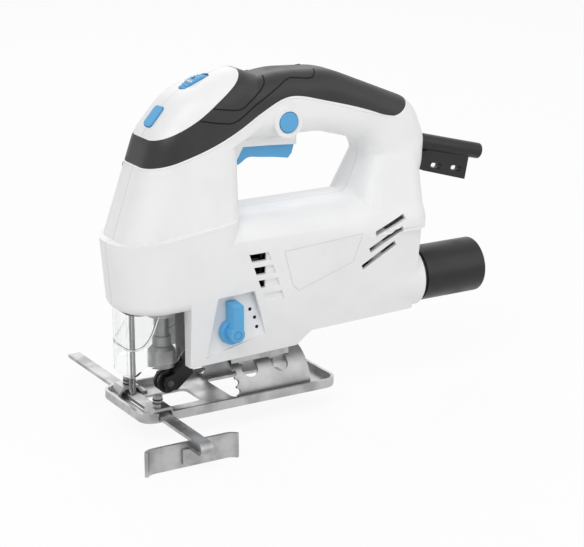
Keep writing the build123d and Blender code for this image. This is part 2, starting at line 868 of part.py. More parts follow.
# Gear case: a plate with two arms that carry the plunger's guides, and two ears for the fork
with BuildPart() as gear_case:
    add(block_between((case_plate_span[0], -case_half_width, case_floor),
                      (case_plate_span[1], case_half_width, case_top)))
    add(block_between((case_plate_span[1], -lower_arm_half_width, case_floor),
                      (arm_front, lower_arm_half_width, case_floor + lower_arm_depth)))
    add(block_between((case_plate_span[1], -arm_half_width, case_top - upper_arm_depth),
                      (arm_front, arm_half_width, case_top)))
    for side in (1, -1):
        low, high = sorted((side * (lower_arm_half_width - fork_ear_thickness), side * lower_arm_half_width))
        add(block_between((ear_span[0], low, ear_foot), (ear_span[1], high, case_floor)))
    add(case_bore(bush_radius + bore_fit, case_floor, case_top), mode=Mode.SUBTRACT)
    add(along_rod(motor_height, front_bearing_radius + bore_fit, *case_plate_span), mode=Mode.SUBTRACT)
    add(along_rod(gear_height, spindle_radius + bore_fit, *case_plate_span), mode=Mode.SUBTRACT)
    add(side_rod(*fork_pivot, fork_pin_radius + bore_fit, -lower_arm_half_width, lower_arm_half_width),
        mode=Mode.SUBTRACT)
gear_case.part.label = "gear_case"
export_step(gear_case.part, "parts/gear_case.step")

for name, start, end in (("lower_bush", case_floor, case_floor + lower_arm_depth),
                         ("upper_bush", case_top - upper_arm_depth, case_top)):
    with BuildPart() as bush:
        add(case_bore(bush_radius, start, end))
        add(case_bore(plunger_radius + running_fit, start, end), mode=Mode.SUBTRACT)
    bush.part.label = name
    export_step(bush.part, f"parts/{name}.step")

# Plunger with the slit for a blade in its foot
with BuildPart() as plunger_rod:
    add(case_bore(plunger_radius, plunger_foot, plunger_top))
    add(block_between((blade_line - plunger_radius, -blade_slot[0] / 2, plunger_foot),
                      (blade_line + plunger_radius, blade_slot[0] / 2, plunger_foot + blade_slot[1])),
        mode=Mode.SUBTRACT)
plunger_rod.part.label = "plunger_rod"
export_step(plunger_rod.part, "parts/plunger_rod.step")

with BuildPart() as plunger_yoke:
    add(block_between((yoke_span[0], -yoke_half_length, yoke_height - yoke_half_height),
                      (yoke_span[1], yoke_half_length, yoke_height + yoke_half_height)))
    add(block_between((yoke_span[1], -yoke_boss_half_width, yoke_height - yoke_half_height),
                      (yoke_boss_front, yoke_boss_half_width, yoke_height + yoke_half_height)))
    with BuildSketch(Plane.YZ.offset(yoke_span[0])):
        with Locations((0, yoke_height)):
            SlotOverall(2 * yoke_slot_half_length, 2 * yoke_slot_half_height)
    extrude(amount=yoke_span[1] - yoke_span[0], mode=Mode.SUBTRACT)
    add(case_bore(plunger_radius + bore_fit, yoke_height - yoke_half_height, yoke_height + yoke_half_height),
        mode=Mode.SUBTRACT)
plunger_yoke.part.label = "plunger_yoke"
export_step(plunger_yoke.part, "parts/plunger_yoke.step")

with BuildPart() as blade_collar:
    add(case_bore(collar_radius, *collar_span))
    with BuildSketch(Plane.XY.offset(collar_span[1])):
        with Locations((blade_line, 0)):
            Circle(collar_radius)
    with BuildSketch(Plane.XY.offset(collar_cone[0])):
        with Locations((blade_line, 0)):
            Circle(collar_cone[1])
    loft()
    add(case_bore(plunger_radius + running_fit, plunger_foot - seat_gap, collar_cone[0]), mode=Mode.SUBTRACT)
    add(case_bore(collar_mouth, *collar_span), mode=Mode.SUBTRACT)
blade_collar.part.label = "blade_collar"
export_step(blade_collar.part, "parts/blade_collar.step")

with BuildPart() as collar_sleeve:
    add(case_bore(collar_sleeve_radius, *collar_sleeve_span))
    add(case_bore(plunger_radius + bore_fit, *collar_sleeve_span), mode=Mode.SUBTRACT)
collar_sleeve.part.label = "collar_sleeve"
export_step(collar_sleeve.part, "parts/collar_sleeve.step")

with BuildPart() as plunger_seal:
    add(case_bore(seal_radius, *seal_span))
    add(case_bore(seal_bore, *seal_span), mode=Mode.SUBTRACT)
plunger_seal.part.label = "plunger_seal"
export_step(plunger_seal.part, "parts/plunger_seal.step")


def side_plate(outline, start, end):
    """A flat plate with a straight sided outline in the side view, between two side positions."""
    with BuildPart() as plate:
        with BuildSketch(Plane.XZ.offset(-end)):
            with BuildLine():
                Polyline(*outline, close=True)
            make_face()
        extrude(amount=end - start)
    return plate.part


# Guide fork, which swings the roller against the back of the blade
cheek_inner = roller_half_width + running_gap + moving_gap
with BuildPart() as guide_fork:
    add(block_between((fork_plate_span[0], -fork_plate_half_width, fork_foot),
                      (fork_plate_span[1], fork_plate_half_width, fork_pivot[1])))
    add(side_rod(*fork_pivot, fork_boss_radius, -fork_plate_half_width, fork_plate_half_width))
    for side in (1, -1):
        low, high = sorted((side * cheek_inner, side * (cheek_inner + cheek_thickness)))
        add(side_plate(fork_cheek, low, high))
    add(side_rod(*fork_pivot, fork_pin_radius + running_fit, -fork_plate_half_width, fork_plate_half_width),
        mode=Mode.SUBTRACT)
    add(side_rod(*roller_centre, roller_pin_radius + bore_fit, -fork_plate_half_width, fork_plate_half_width),
        mode=Mode.SUBTRACT)
guide_fork.part.label = "guide_fork"
export_step(guide_fork.part, "parts/guide_fork.step")
with BuildPart() as fork_pin:
    add(side_rod(*fork_pivot, fork_pin_radius, -lower_arm_half_width, lower_arm_half_width))
fork_pin.part.label = "fork_pin"
export_step(fork_pin.part, "parts/fork_pin.step")

with BuildPart() as guide_roller:
    add(side_rod(*roller_centre, roller_radius, -roller_half_width, roller_half_width))
    add(side_rod(*roller_centre, roller_radius, -roller_groove[0], roller_groove[0]), mode=Mode.SUBTRACT)
    add(side_rod(*roller_centre, roller_radius - roller_groove[1], -roller_groove[0], roller_groove[0]))
    add(side_rod(*roller_centre, roller_pin_radius + running_fit, -roller_half_width, roller_half_width),
        mode=Mode.SUBTRACT)
guide_roller.part.label = "guide_roller"
export_step(guide_roller.part, "parts/guide_roller.step")
roller_pin_end = cheek_inner + cheek_thickness
with BuildPart() as roller_pin:
    add(side_rod(*roller_centre, roller_pin_radius, -roller_pin_end, roller_pin_end))
roller_pin.part.label = "roller_pin"
export_step(roller_pin.part, "parts/roller_pin.step")

# Pendulum lever outside the skirt, and the cam that it turns behind the fork
lever_top = (lever_pivot[0] + lever_tip_lean, lever_pivot[1] + lever_reach - lever_block_length / 2)
with BuildPart() as pendulum_lever:
    for foot, face, radius in ((lever_span[0], lever_web, lever_hub_radius),
                               (lever_web, lever_span[1], lever_block_half_width)):
        with BuildSketch(Plane.XZ.offset(-foot)):
            with Locations(lever_pivot):
                Circle(radius)
            with Locations(lever_top):
                RectangleRounded(2 * lever_block_half_width, lever_block_length, lever_corner)
            make_hull()
        extrude(amount=foot - face)
    fillet(pendulum_lever.faces().sort_by(Axis.Y)[-1].edges(), lever_round)
    with BuildSketch(Plane.XZ.offset(-lever_span[1])):
        with Locations(lever_pivot):
            Circle(lever_ring[1])
            Circle(lever_ring[0], mode=Mode.SUBTRACT)
    extrude(amount=lever_ring[2], mode=Mode.SUBTRACT)
pendulum_lever.part.label = "pendulum_lever"
export_step(pendulum_lever.part, "parts/pendulum_lever.step")

with BuildPart() as orbit_cam:
    add(side_rod(*lever_pivot, lever_shaft_radius, cam_shaft_end, lever_span[0]))
    add(side_rod(lever_pivot[0] - cam_throw, lever_pivot[1], cam_radius, -cam_half_width, cam_half_width))
orbit_cam.part.label = "orbit_cam"
export_step(orbit_cam.part, "parts/orbit_cam.step")

# Speed dial: a ridged wheel that stands out of the cap
dial_centre = (dial_point[0] - (dial_radius - dial_rise) * dial_plane.z_dir.X,
               dial_point[1] - (dial_radius - dial_rise) * dial_plane.z_dir.Z)
with BuildPart() as speed_dial:
    with BuildSketch(Plane.XZ.offset(-dial_half_width)):
        with Locations(dial_centre):
            Circle(dial_radius)
            with PolarLocations(dial_radius, dial_ridges):
                Circle(dial_groove, mode=Mode.SUBTRACT)
            Circle(dial_axle_radius + running_fit, mode=Mode.SUBTRACT)
    extrude(amount=2 * dial_half_width)
speed_dial.part.label = "speed_dial"
export_step(speed_dial.part, "parts/speed_dial.step")
with BuildPart() as dial_axle:
    add(side_rod(*dial_centre, dial_axle_radius, -dial_axle_half_length, dial_axle_half_length))
dial_axle.part.label = "dial_axle"
export_step(dial_axle.part, "parts/dial_axle.step")

# Light button in the brow of the cap, and the switch behind it
with BuildPart() as light_button:
    with BuildSketch(light_plane.offset(-light_button_depth)):
        RectangleRounded(light_button_size[0] + 2 * light_button_lip,
                         light_button_size[1] + 2 * light_button_lip, light_button_round)
    extrude(amount=light_button_lip)
    with BuildSketch(light_plane.offset(-light_button_depth)):
        RectangleRounded(*light_button_size, light_button_round)
    extrude(amount=light_button_depth + light_button_rise)
light_button.part.label = "light_button"
export_step(light_button.part, "parts/light_button.step")

light_switch_face = light_button_depth + light_button_travel + running_gap
with BuildPart() as light_switch:
    with BuildSketch(light_plane.offset(-light_switch_face - light_switch_height)):
        Rectangle(*light_switch_size)
    extrude(amount=light_switch_height)
light_switch.part.label = "light_switch"
export_step(light_switch.part, "parts/light_switch.step")

# Lock button, trigger, main switch and its speed board
with BuildPart() as lock_button:
    add(side_rod(*lock_point, lock_radius, lock_inner, lock_face))
    fillet(lock_button.faces().sort_by(Axis.Y)[-1].edges(), lock_round)
lock_button.part.label = "lock_button"
export_step(lock_button.part, "parts/lock_button.step")

with BuildPart() as trigger:
    with BuildSketch(Plane.XZ.offset(-trigger_half_width)):
        with BuildLine():
            belly = Spline(*trigger_belly)
            Polyline(belly @ 1, *trigger_back, belly @ 0)
        make_face()
    extrude(amount=2 * trigger_half_width)
    add(side_rod(*trigger_pivot, trigger_pin_radius + running_fit, -trigger_half_width, trigger_half_width),
        mode=Mode.SUBTRACT)
trigger.part.label = "trigger"
export_step(trigger.part, "parts/trigger.step")
with BuildPart() as trigger_pin:
    add(side_rod(*trigger_pivot, trigger_pin_radius, -trigger_pin_half_length, trigger_pin_half_length))
trigger_pin.part.label = "trigger_pin"
export_step(trigger_pin.part, "parts/trigger_pin.step")

with BuildPart() as main_switch:
    add(block_between(switch_low, switch_high))
main_switch.part.label = "main_switch"
export_step(main_switch.part, "parts/main_switch.step")

with BuildPart() as speed_board:
    add(block_between((switch_low[0] - seat_gap - speed_board_depth, -speed_board_half_width, switch_low[2]),
                      (switch_low[0] - seat_gap, speed_board_half_width, switch_high[2] - speed_board_step)))
speed_board.part.label = "speed_board"
export_step(speed_board.part, "parts/speed_board.step")

# Cord sleeve with its key holder, and the clamp inside
cord_run = (cord_tip[0] - cord_exit[0], cord_tip[1] - cord_exit[1])
cord_length = sqrt(cord_run[0] ** 2 + cord_run[1] ** 2)
cord_plane = Plane(origin=(cord_exit[0], 0, cord_exit[1]), x_dir=(0, 1, 0), z_dir=(cord_run[0], 0, cord_run[1]))


def cord_rod(radius, start, end):
    """A round bar along the cord's line."""
    with BuildPart() as rod:
        with BuildSketch(cord_plane.offset(start)):
            Circle(radius)
        extrude(amount=end - start)
    return rod.part


with BuildPart() as cord_sleeve:
    with BuildSketch(cord_plane.offset(sleeve_collar_span[0])):
        Circle(sleeve_radius)
    with BuildSketch(cord_plane.offset(cord_length)):
        Circle(sleeve_tip_radius)
    loft()
    add(side_plate(key_holder, -key_holder_half_width, key_holder_half_width))
    with BuildSketch(Plane.XZ):
        with Locations(*key_slots):
            RectangleRounded(*key_slot_size, key_slot_round, rotation=key_slot_lean)
    extrude(amount=key_holder_half_width, both=True, mode=Mode.SUBTRACT)
    add(cord_rod(sleeve_collar_radius, *sleeve_collar_span))
    add(cord_rod(sleeve_bore, -far, far), mode=Mode.SUBTRACT)
cord_sleeve.part.label = "cord_sleeve"
export_step(cord_sleeve.part, "parts/cord_sleeve.step")

with BuildPart() as cord_clamp:
    add(block_between((cord_clamp_span[0], -cord_clamp_half_width, cord_rib_top),
                      (cord_clamp_span[1], cord_clamp_half_width, cord_rib_top + cord_clamp_height)))
    add(along_rod(cord_rib_top + cord_clamp_height, sleeve_bore, *cord_clamp_span), mode=Mode.SUBTRACT)
cord_clamp.part.label = "cord_clamp"
export_step(cord_clamp.part, "parts/cord_clamp.step")

# Dust duct under the motor, and the adapter pushed into the spigot
plug_end = spigot_end + adapter_plug


def duct_loft(inset):
    """The duct from its square mouth to its round end, set in by the inset."""
    with BuildPart() as duct:
        with BuildSketch(Plane.YZ.offset(duct_mouth[0])):
            with Locations((0, (duct_mouth[1] + duct_mouth[2]) / 2)):
                RectangleRounded(2 * (duct_mouth_half_width - inset), duct_mouth[2] - duct_mouth[1] - 2 * inset,
                                 duct_mouth_round)
        with BuildSketch(Plane.YZ.offset(duct_round_from)):
            with Locations((0, dust_height)):
                Circle(duct_radius - inset)
        loft()
        add(along_rod(dust_height, duct_radius - inset, plug_end + 2 * seat_gap, duct_round_from))
    return duct.part


with BuildPart() as dust_duct:
    add(duct_loft(0))
    add(duct_loft(duct_wall), mode=Mode.SUBTRACT)
dust_duct.part.label = "dust_duct"
export_step(dust_duct.part, "parts/dust_duct.step")

plug_radius = spigot_radius - wall - running_gap
adapter_face = spigot_end - seat_gap
with BuildPart() as dust_adapter:
    add(along_rod(dust_height, adapter_radius, adapter_end, adapter_face))
    add(along_rod(dust_height, plug_radius, adapter_end, plug_end))
    add(sleeve_along(dust_height, far, adapter_radius - adapter_groove[1], adapter_face - 2 * adapter_groove[0],
                     adapter_face - adapter_groove[0]), mode=Mode.SUBTRACT)
    add(along_rod(dust_height, plug_radius - adapter_wall, adapter_end, plug_end), mode=Mode.SUBTRACT)
    lip = dust_adapter.faces().sort_by(Axis.X)[0].edges()
    fillet(lip.sort_by(SortBy.RADIUS)[-1], adapter_lip_round)
dust_adapter.part.label = "dust_adapter"
export_step(dust_adapter.part, "parts/dust_adapter.step")

# Base mount under the skirt, with a round seat for the saddle's arch
with BuildPart() as base_mount:
    add(block_between((mount_span[0], -mount_half_width, skirt_floor),
                      (mount_span[1], mount_half_width, mount_top)))
    add(block_between((mount_span[0], -mount_keel_half_width, bevel_height),
                      (mount_span[1], mount_keel_half_width, mount_top)))
    add(along_rod(bevel_height, saddle_radius + 2 * seat_gap, *mount_span), mode=Mode.SUBTRACT)
    for across in saddle_bolts_at:
        add(upright_rod(across, bolt_radius + bore_fit, bevel_height, mount_top - bolt_cover),
            mode=Mode.SUBTRACT)
base_mount.part.label = "base_mount"
export_step(base_mount.part, "parts/base_mount.step")


def arch_sector(half_angle, start, end):
    """A wedge about the bevel axis, open upwards, between two fore and aft positions."""
    reach = 2 * saddle_radius
    with BuildPart() as wedge:
        with BuildSketch(Plane.YZ.offset(start)):
            with BuildLine():
                Polyline((0, bevel_height),
                         (reach * sin(radians(half_angle)), bevel_height + reach * cos(radians(half_angle))),
                         (0, bevel_height + reach),
                         (-reach * sin(radians(half_angle)), bevel_height + reach * cos(radians(half_angle))),
                         close=True)
            make_face()
        extrude(amount=end - start)
    return wedge.part


# Clamp plate inside the arch, with a boss in each slot, and the bolts that pull it up
clamp_radius = saddle_radius - saddle_thickness - 2 * seat_gap
with BuildPart() as saddle_clamp:
    add(sleeve_along(bevel_height, clamp_radius, clamp_radius - clamp_thickness, *clamp_span))
    add(arch_sector(clamp_half_angle, *clamp_span), mode=Mode.INTERSECT)
    for across in saddle_bolts_at:
        add(upright_rod(across, clamp_boss_radius, bevel_height + clamp_radius - clamp_thickness / 2,
                        bevel_height + saddle_radius - 2 * seat_gap))
    for across in saddle_bolts_at:
        add(upright_rod(across, bolt_radius + bore_fit, bevel_height, mount_top), mode=Mode.SUBTRACT)
saddle_clamp.part.label = "saddle_clamp"
export_step(saddle_clamp.part, "parts/saddle_clamp.step")

bolt_seat = bevel_height + sqrt((clamp_radius - clamp_thickness) ** 2 - bolt_head_radius ** 2) - seat_gap
with BuildPart() as saddle_bolts:
    for across in saddle_bolts_at:
        add(upright_rod(across, bolt_head_radius, bolt_seat - bolt_head_height, bolt_seat))
        add(upright_rod(across, bolt_radius, bolt_seat, mount_top - bolt_cover))
        with BuildSketch(Plane.XY.offset(bolt_seat - bolt_head_height)):
            with Locations((across, 0)):
                RegularPolygon(bolt_key_radius, 6)
        extrude(amount=bolt_key_depth, mode=Mode.SUBTRACT)
saddle_bolts.part.label = "saddle_bolts"
export_step(saddle_bolts.part, "parts/saddle_bolts.step")

# Saddle: an arch of sheet on two feet, slotted for the bolts and toothed at its front edge
slot_angle = bevel_limit + saddle_slot_spare
saddle_base = sole_thickness
with BuildPart() as base_saddle:
    add(sleeve_along(bevel_height, saddle_radius, saddle_radius - saddle_thickness, *saddle_span))
    add(block_between((saddle_span[0], -far, -far), (saddle_span[1], far, saddle_base)), mode=Mode.SUBTRACT)
    for side in (1, -1):
        low, high = sorted((side * (saddle_radius - saddle_thickness), side * (saddle_radius + saddle_foot)))
        add(block_between((saddle_span[0], low, saddle_base),
                          (saddle_span[1], high, saddle_base + saddle_thickness)))
    for across in saddle_bolts_at:
        add(arch_sector(slot_angle, across - saddle_slot_width / 2, across + saddle_slot_width / 2),
            mode=Mode.SUBTRACT)
        for side in (1, -1):
            outwards = Plane(origin=(across, 0, bevel_height), x_dir=(1, 0, 0),
                             z_dir=(0, side * sin(radians(slot_angle)), cos(radians(slot_angle))))
            with BuildSketch(outwards):
                Circle(saddle_slot_width / 2)
            extrude(amount=2 * saddle_radius, mode=Mode.SUBTRACT)
    for tooth in range(saddle_tooth_count):
        for side in (1, -1):
            lean = radians(saddle_tooth_from + tooth * saddle_tooth_step)
            outwards = Plane(origin=(saddle_span[1], 0, bevel_height), x_dir=(1, 0, 0),
                             z_dir=(0, side * sin(lean), cos(lean)))
            with BuildSketch(outwards):
                Circle(saddle_tooth_radius)
            extrude(amount=2 * saddle_radius, mode=Mode.SUBTRACT)
base_saddle.part.label = "base_saddle"
export_step(base_saddle.part, "parts/base_saddle.step")

# Base plate: a pressed sole with an upturned rim and two bridges over the fence bar
with BuildPart() as base_plate:
    with BuildSketch():
        with Locations(((sole_front + sole_rear) / 2, 0)):
            RectangleRounded(sole_front - sole_rear, 2 * sole_half_width, sole_corner)
    extrude(amount=sole_rim)
    fillet(base_plate.faces().sort_by(Axis.Z)[0].edges(), sole_edge_round)
    with BuildSketch(Plane.XY.offset(sole_thickness)):
        with Locations(((sole_front + sole_rear) / 2, 0)):
            RectangleRounded(sole_front - sole_rear - 2 * sole_thickness,
                             2 * (sole_half_width - sole_thickness), sole_corner - sole_thickness)
    extrude(amount=sole_rim, mode=Mode.SUBTRACT)
    for span, half in ((blade_opening, blade_opening_half_width), (saddle_opening, saddle_opening_half_width)):
        with BuildSketch():
            with Locations(((span[0] + span[1]) / 2, 0)):
                RectangleRounded(span[1] - span[0], 2 * half, sole_opening_round)
        extrude(amount=sole_thickness, mode=Mode.SUBTRACT)
    half_notch = bar_width / 2 + running_gap
    add(block_between((bar_centre - half_notch, -far, sole_thickness), (bar_centre + half_notch, far, far)),
        mode=Mode.SUBTRACT)
    under = bridge_height - bridge_thickness
    leg = bridge_leg
    bridge = [(bridge_span[0], sole_thickness), (bridge_span[0] + leg, sole_thickness),
              (bar_centre - half_notch - seat_gap, under), (bar_centre + half_notch + seat_gap, under),
              (bridge_span[1] - leg, sole_thickness), (bridge_span[1], sole_thickness),
              (bridge_span[1], sole_thickness + bridge_thickness),
              (bridge_span[1] - leg + bridge_thickness / 2, sole_thickness + bridge_thickness),
              (bar_centre + half_notch + bridge_thickness / 2, bridge_height),
              (bar_centre - half_notch - bridge_thickness / 2, bridge_height),
              (bridge_span[0] + leg - bridge_thickness / 2, sole_thickness + bridge_thickness),
              (bridge_span[0], sole_thickness + bridge_thickness)]
    for side in (1, -1):
        low, high = sorted((side * bridge_inner, side * bridge_outer))
        add(side_plate(bridge, low, high))
    for across, aside in fence_screws_at:
        add(upright_rod(across, fence_screw_radius + running_fit, sole_thickness, far, aside),
            mode=Mode.SUBTRACT)
base_plate.part.label = "base_plate"
export_step(base_plate.part, "parts/base_plate.step")

# Rip fence: a flat bar folded over at its near end, and the guide plate on the fold
bar_middle = bar_floor + bar_thickness / 2
fold_centre = bar_near_end - bar_fold - bar_thickness / 2
plate_face = fence_face + fence_thickness
with BuildPart() as fence_bar:
    with BuildSketch(Plane.YZ.offset(bar_centre - bar_width / 2)):
        with BuildLine():
            Line((bar_far_end, bar_middle), (fold_centre, bar_middle))
            fold = CenterArc((fold_centre, bar_middle - bar_fold), bar_fold, 90, -180)
            Line(fold @ 1, (plate_face, bar_middle - 2 * bar_fold))
        trace(line_width=bar_thickness)
    extrude(amount=bar_width)
fence_bar.part.label = "fence_bar"
export_step(fence_bar.part, "parts/fence_bar.step")

flare_run = fence_flare_round * sin(radians(fence_flare))
with BuildPart() as fence_plate:
    with BuildSketch(Plane.XY.offset(fence_bottom)):
        middle = fence_face + fence_thickness / 2
        with BuildLine():
            Line((fence_span[0] + flare_run, middle), (fence_span[1] - flare_run, middle))
            flare_height = middle + fence_flare_round
            CenterArc((fence_span[0] + flare_run, flare_height), fence_flare_round, -90, -fence_flare)
            CenterArc((fence_span[1] - flare_run, flare_height), fence_flare_round, -90, fence_flare)
        trace(line_width=fence_thickness)
    extrude(amount=fence_top - fence_bottom)
fence_plate.part.label = "fence_plate"
export_step(fence_plate.part, "parts/fence_plate.step")

# Fence screws with knurled heads
for name, (across, aside), top in (("fence_screw_left", fence_screws_at[0], fence_screw_tops[0]),
                                   ("fence_screw_right", fence_screws_at[1], fence_screw_tops[1])):
    with BuildPart() as fence_screw:
        add(upright_rod(across, fence_screw_radius, bar_floor + bar_thickness + 2 * seat_gap, top, aside))
        with BuildSketch(Plane.XY.offset(top - fence_screw_knob)):
            with Locations((across, aside)):
                Circle(fence_screw_head)
                with PolarLocations(fence_screw_head, fence_screw_flutes):
                    Circle(fence_screw_flute, mode=Mode.SUBTRACT)
        extrude(amount=fence_screw_knob)
    fence_screw.part.label = name
    export_step(fence_screw.part, f"parts/{name}.step")

# Clear chip guard under the nose, open at the back and scooped at its lower edge
with BuildPart() as chip_guard:
    for inset, mode in ((0, Mode.ADD), (guard_wall, Mode.SUBTRACT)):
        with BuildSketch(Plane.XY.offset(sole_rim)):
            with BuildLine():
                half = guard_half_width - inset
                FilletPolyline((guard_rear, -half), (guard_front - inset, -half), (guard_front - inset, half),
                               (guard_rear, half), close=True,
                               radius=[0, guard_corner - inset, guard_corner - inset, 0])
            make_face()
        extrude(amount=guard_top - sole_rim, mode=mode)
    with BuildSketch(Plane.XZ.offset(-far)):
        with BuildLine():
            scoop = Spline(*guard_scoop)
            Polyline(scoop @ 1, (far, guard_scoop[-1][1]), (far, 0), (guard_scoop[0][0], 0), scoop @ 0)
        make_face()
    extrude(amount=2 * far, mode=Mode.SUBTRACT)
    with BuildSketch(Plane.YZ.offset(guard_front - guard_corner)):
        with Locations((0, sole_rim)):
            Rectangle(4 * guard_half_width, 2 * (guard_bottom_arc[0] - sole_rim))
        with Locations((0, guard_bottom_arc[0])):
            Circle(guard_bottom_arc[1], mode=Mode.SUBTRACT)
    extrude(amount=2 * guard_corner, mode=Mode.SUBTRACT)
chip_guard.part.label = "chip_guard"
export_step(chip_guard.part, "parts/chip_guard.step")

# Finger guard: a wire bent to a U, both ends in the nose
with BuildPart() as finger_wire:
    with BuildLine() as wire_path:
        bend_height = wire_bottom + wire_half_gap
        Line((wire_line, -wire_half_gap, wire_top), (wire_line, -wire_half_gap, bend_height))
        ThreePointArc((wire_line, -wire_half_gap, bend_height), (wire_line, 0, wire_bottom),
                      (wire_line, wire_half_gap, bend_height))
        Line((wire_line, wire_half_gap, bend_height), (wire_line, wire_half_gap, wire_top))
    with BuildSketch(Plane.XY.offset(wire_top)):
        with Locations((wire_line, -wire_half_gap)):
            Circle(wire_radius)
    sweep(path=wire_path.wire())
finger_wire.part.label = "finger_wire"
export_step(finger_wire.part, "parts/finger_wire.step")

# Outer form of the body, the same form set in by the wall, and the floor under the soft grip
outer_form = body_block(0)
inner_form = body_block(wall)
grip_floor = body_block(grip_depth)

with BuildPart() as grip_band:
    with BuildSketch(Plane.XZ.offset(-far)):
        with BuildLine():
            lower_edge = Spline(*grip_lower_line)
            upper_edge = Spline(*cap_line)
            Polyline(lower_edge @ 1, (grip_lower_line[-1][0], far), (cap_line[0][0], far), upper_edge @ 0)
            Line(upper_edge @ 1, lower_edge @ 0)
        make_face()
    extrude(amount=2 * far)

with BuildPart() as grip_skin:
    add(outer_form)
    add(grip_floor, mode=Mode.SUBTRACT)
    add(grip_band.part, mode=Mode.INTERSECT)

for name, keep in (("soft_grip_left", Keep.BOTTOM), ("soft_grip_right", Keep.TOP)):
    with BuildPart() as soft_grip:
        add(grip_skin.part)
        split(bisect_by=Plane.XZ, keep=keep)
    soft_grip.part.label = name
    export_step(soft_grip.part, f"parts/{name}.step")


def rib(across, thickness, low, high):
    """An upright wall across the housing."""
    return block_between((across - thickness / 2, -far, low), (across + thickness / 2, far, high))


# Ribs and bosses that carry the inner pieces
light_rib_depth = light_switch_face + light_switch_height + seat_gap + rib_thickness
with BuildPart() as supports:
    for across in stator_ribs_at:
        add(rib(across, rib_thickness, stator_rib_floor, barrel_top))
    add(block_between((rear_bearing_span[0], -far, bearing_rib_floor), (rear_bearing_span[1], far, barrel_top)))
    case_rib = case_plate_span[0] - seat_gap - rib_thickness / 2
    add(rib(case_rib, rib_thickness, case_floor, case_top))
    add(block_between((case_rib - rib_thickness, -case_rib_half_gap, 0),
                      (case_rib + rib_thickness, case_rib_half_gap, far)), mode=Mode.SUBTRACT)
    add(along_rod(motor_height, stator_radius + seat_gap, *stator_span), mode=Mode.SUBTRACT)
    for across in switch_ribs_at:
        add(rib(across, rib_thickness, switch_low[2], switch_high[2]))
    add(block_between((switch_low[0], switch_low[1] - seat_gap, switch_low[2]),
                      (switch_high[0], switch_high[1] + seat_gap, switch_high[2])), mode=Mode.SUBTRACT)
    for across in mount_ribs_at:
        add(rib(across, rib_thickness, mount_top + seat_gap, mount_top + mount_rib_height))
    add(block_between((cord_rib_span[0], -far, cord_rib_top - rib_thickness),
                      (cord_rib_span[1], far, cord_rib_top)))
    add(block_between((wire_boss[0], -wire_boss[2], nose_floor), (wire_boss[1], wire_boss[2], wire_boss[3])))
    with BuildSketch(light_plane.offset(-light_rib_depth)):
        Rectangle(light_switch_size[0], 2 * far)
    extrude(amount=rib_thickness)
    for start, end in ((dial_half_width + moving_gap, far), (-far, -dial_half_width - moving_gap)):
        add(side_rod(*dial_centre, dial_boss_radius, start, end))
    for start, end in ((trigger_half_width + moving_gap, far), (-far, -trigger_half_width - moving_gap)):
        add(side_rod(*trigger_pivot, trigger_boss_radius, start, end))
    add(side_rod(*lever_pivot, cam_boss_radius, -far, cam_shaft_end + rib_thickness))
    for point in screw_points:
        add(side_rod(*point, screw_boss_radius, -far, far))
    add(inner_form, mode=Mode.INTERSECT)
    add(along_rod(motor_height, rear_bearing_radius + bore_fit, *rear_bearing_span), mode=Mode.SUBTRACT)
    add(side_rod(*dial_centre, dial_axle_radius + bore_fit, -far, far), mode=Mode.SUBTRACT)
    add(side_rod(*trigger_pivot, trigger_pin_radius + bore_fit, -far, far), mode=Mode.SUBTRACT)
    add(side_rod(*lever_pivot, lever_shaft_radius + running_fit, cam_shaft_end - seat_gap, far),
        mode=Mode.SUBTRACT)

with BuildPart() as shell:
    add(outer_form)
    add(inner_form, mode=Mode.SUBTRACT)
    add(grip_skin.part, mode=Mode.SUBTRACT)
    add(supports.part)
    add(side_rod(*lock_point, lock_boss_radius, lock_inner, lock_boss_face))
    cheek_face = trigger_half_width + moving_gap
    for start in (cheek_face, -cheek_face - wall):
        add(side_plate(trigger_cheek, start, start + wall))
    with BuildSketch(Plane.XZ.offset(-recess_floor)):
        with BuildLine():
            Polyline(*recess_outline, close=True)
        make_face()
        offset(amount=recess_margin)
    extrude(amount=recess_floor - recess_back)


def flank(point):
    """Side position of the body's right flank at a point of the side view."""
    with BuildPart() as probe:
        add(side_rod(*point, screw_radius, -far, 0))
        add(outer_form, mode=Mode.INTERSECT)
    return probe.part.bounding_box().min.Y


screw_seats = [flank(point) + screw_sink + screw_head_depth for point in screw_points]

with BuildPart() as housing_screws:
    for point, seat in zip(screw_points, screw_seats):
        add(side_rod(*point, screw_head_radius, seat - screw_head_depth, seat))
        add(side_rod(*point, screw_radius, seat, screw_reach))
        with BuildSketch(Plane.XZ.offset(screw_head_depth - seat)):
            with Locations(point):
                RegularPolygon(screw_key_radius, 6)
        extrude(amount=-screw_key_depth, mode=Mode.SUBTRACT)
housing_screws.part.label = "housing_screws"
export_step(housing_screws.part, "parts/housing_screws.step")

with BuildPart() as light_lens:
    add(block_between((lens_span[0], -lens_half_width, 0), (lens_span[1], lens_half_width, lens_top)))
    add(outer_form, mode=Mode.INTERSECT)
    add(block_between((-far, -far, 0), (far, far, nose_floor - running_gap)), mode=Mode.SUBTRACT)
light_lens.part.label = "light_lens"
export_step(light_lens.part, "parts/light_lens.step")

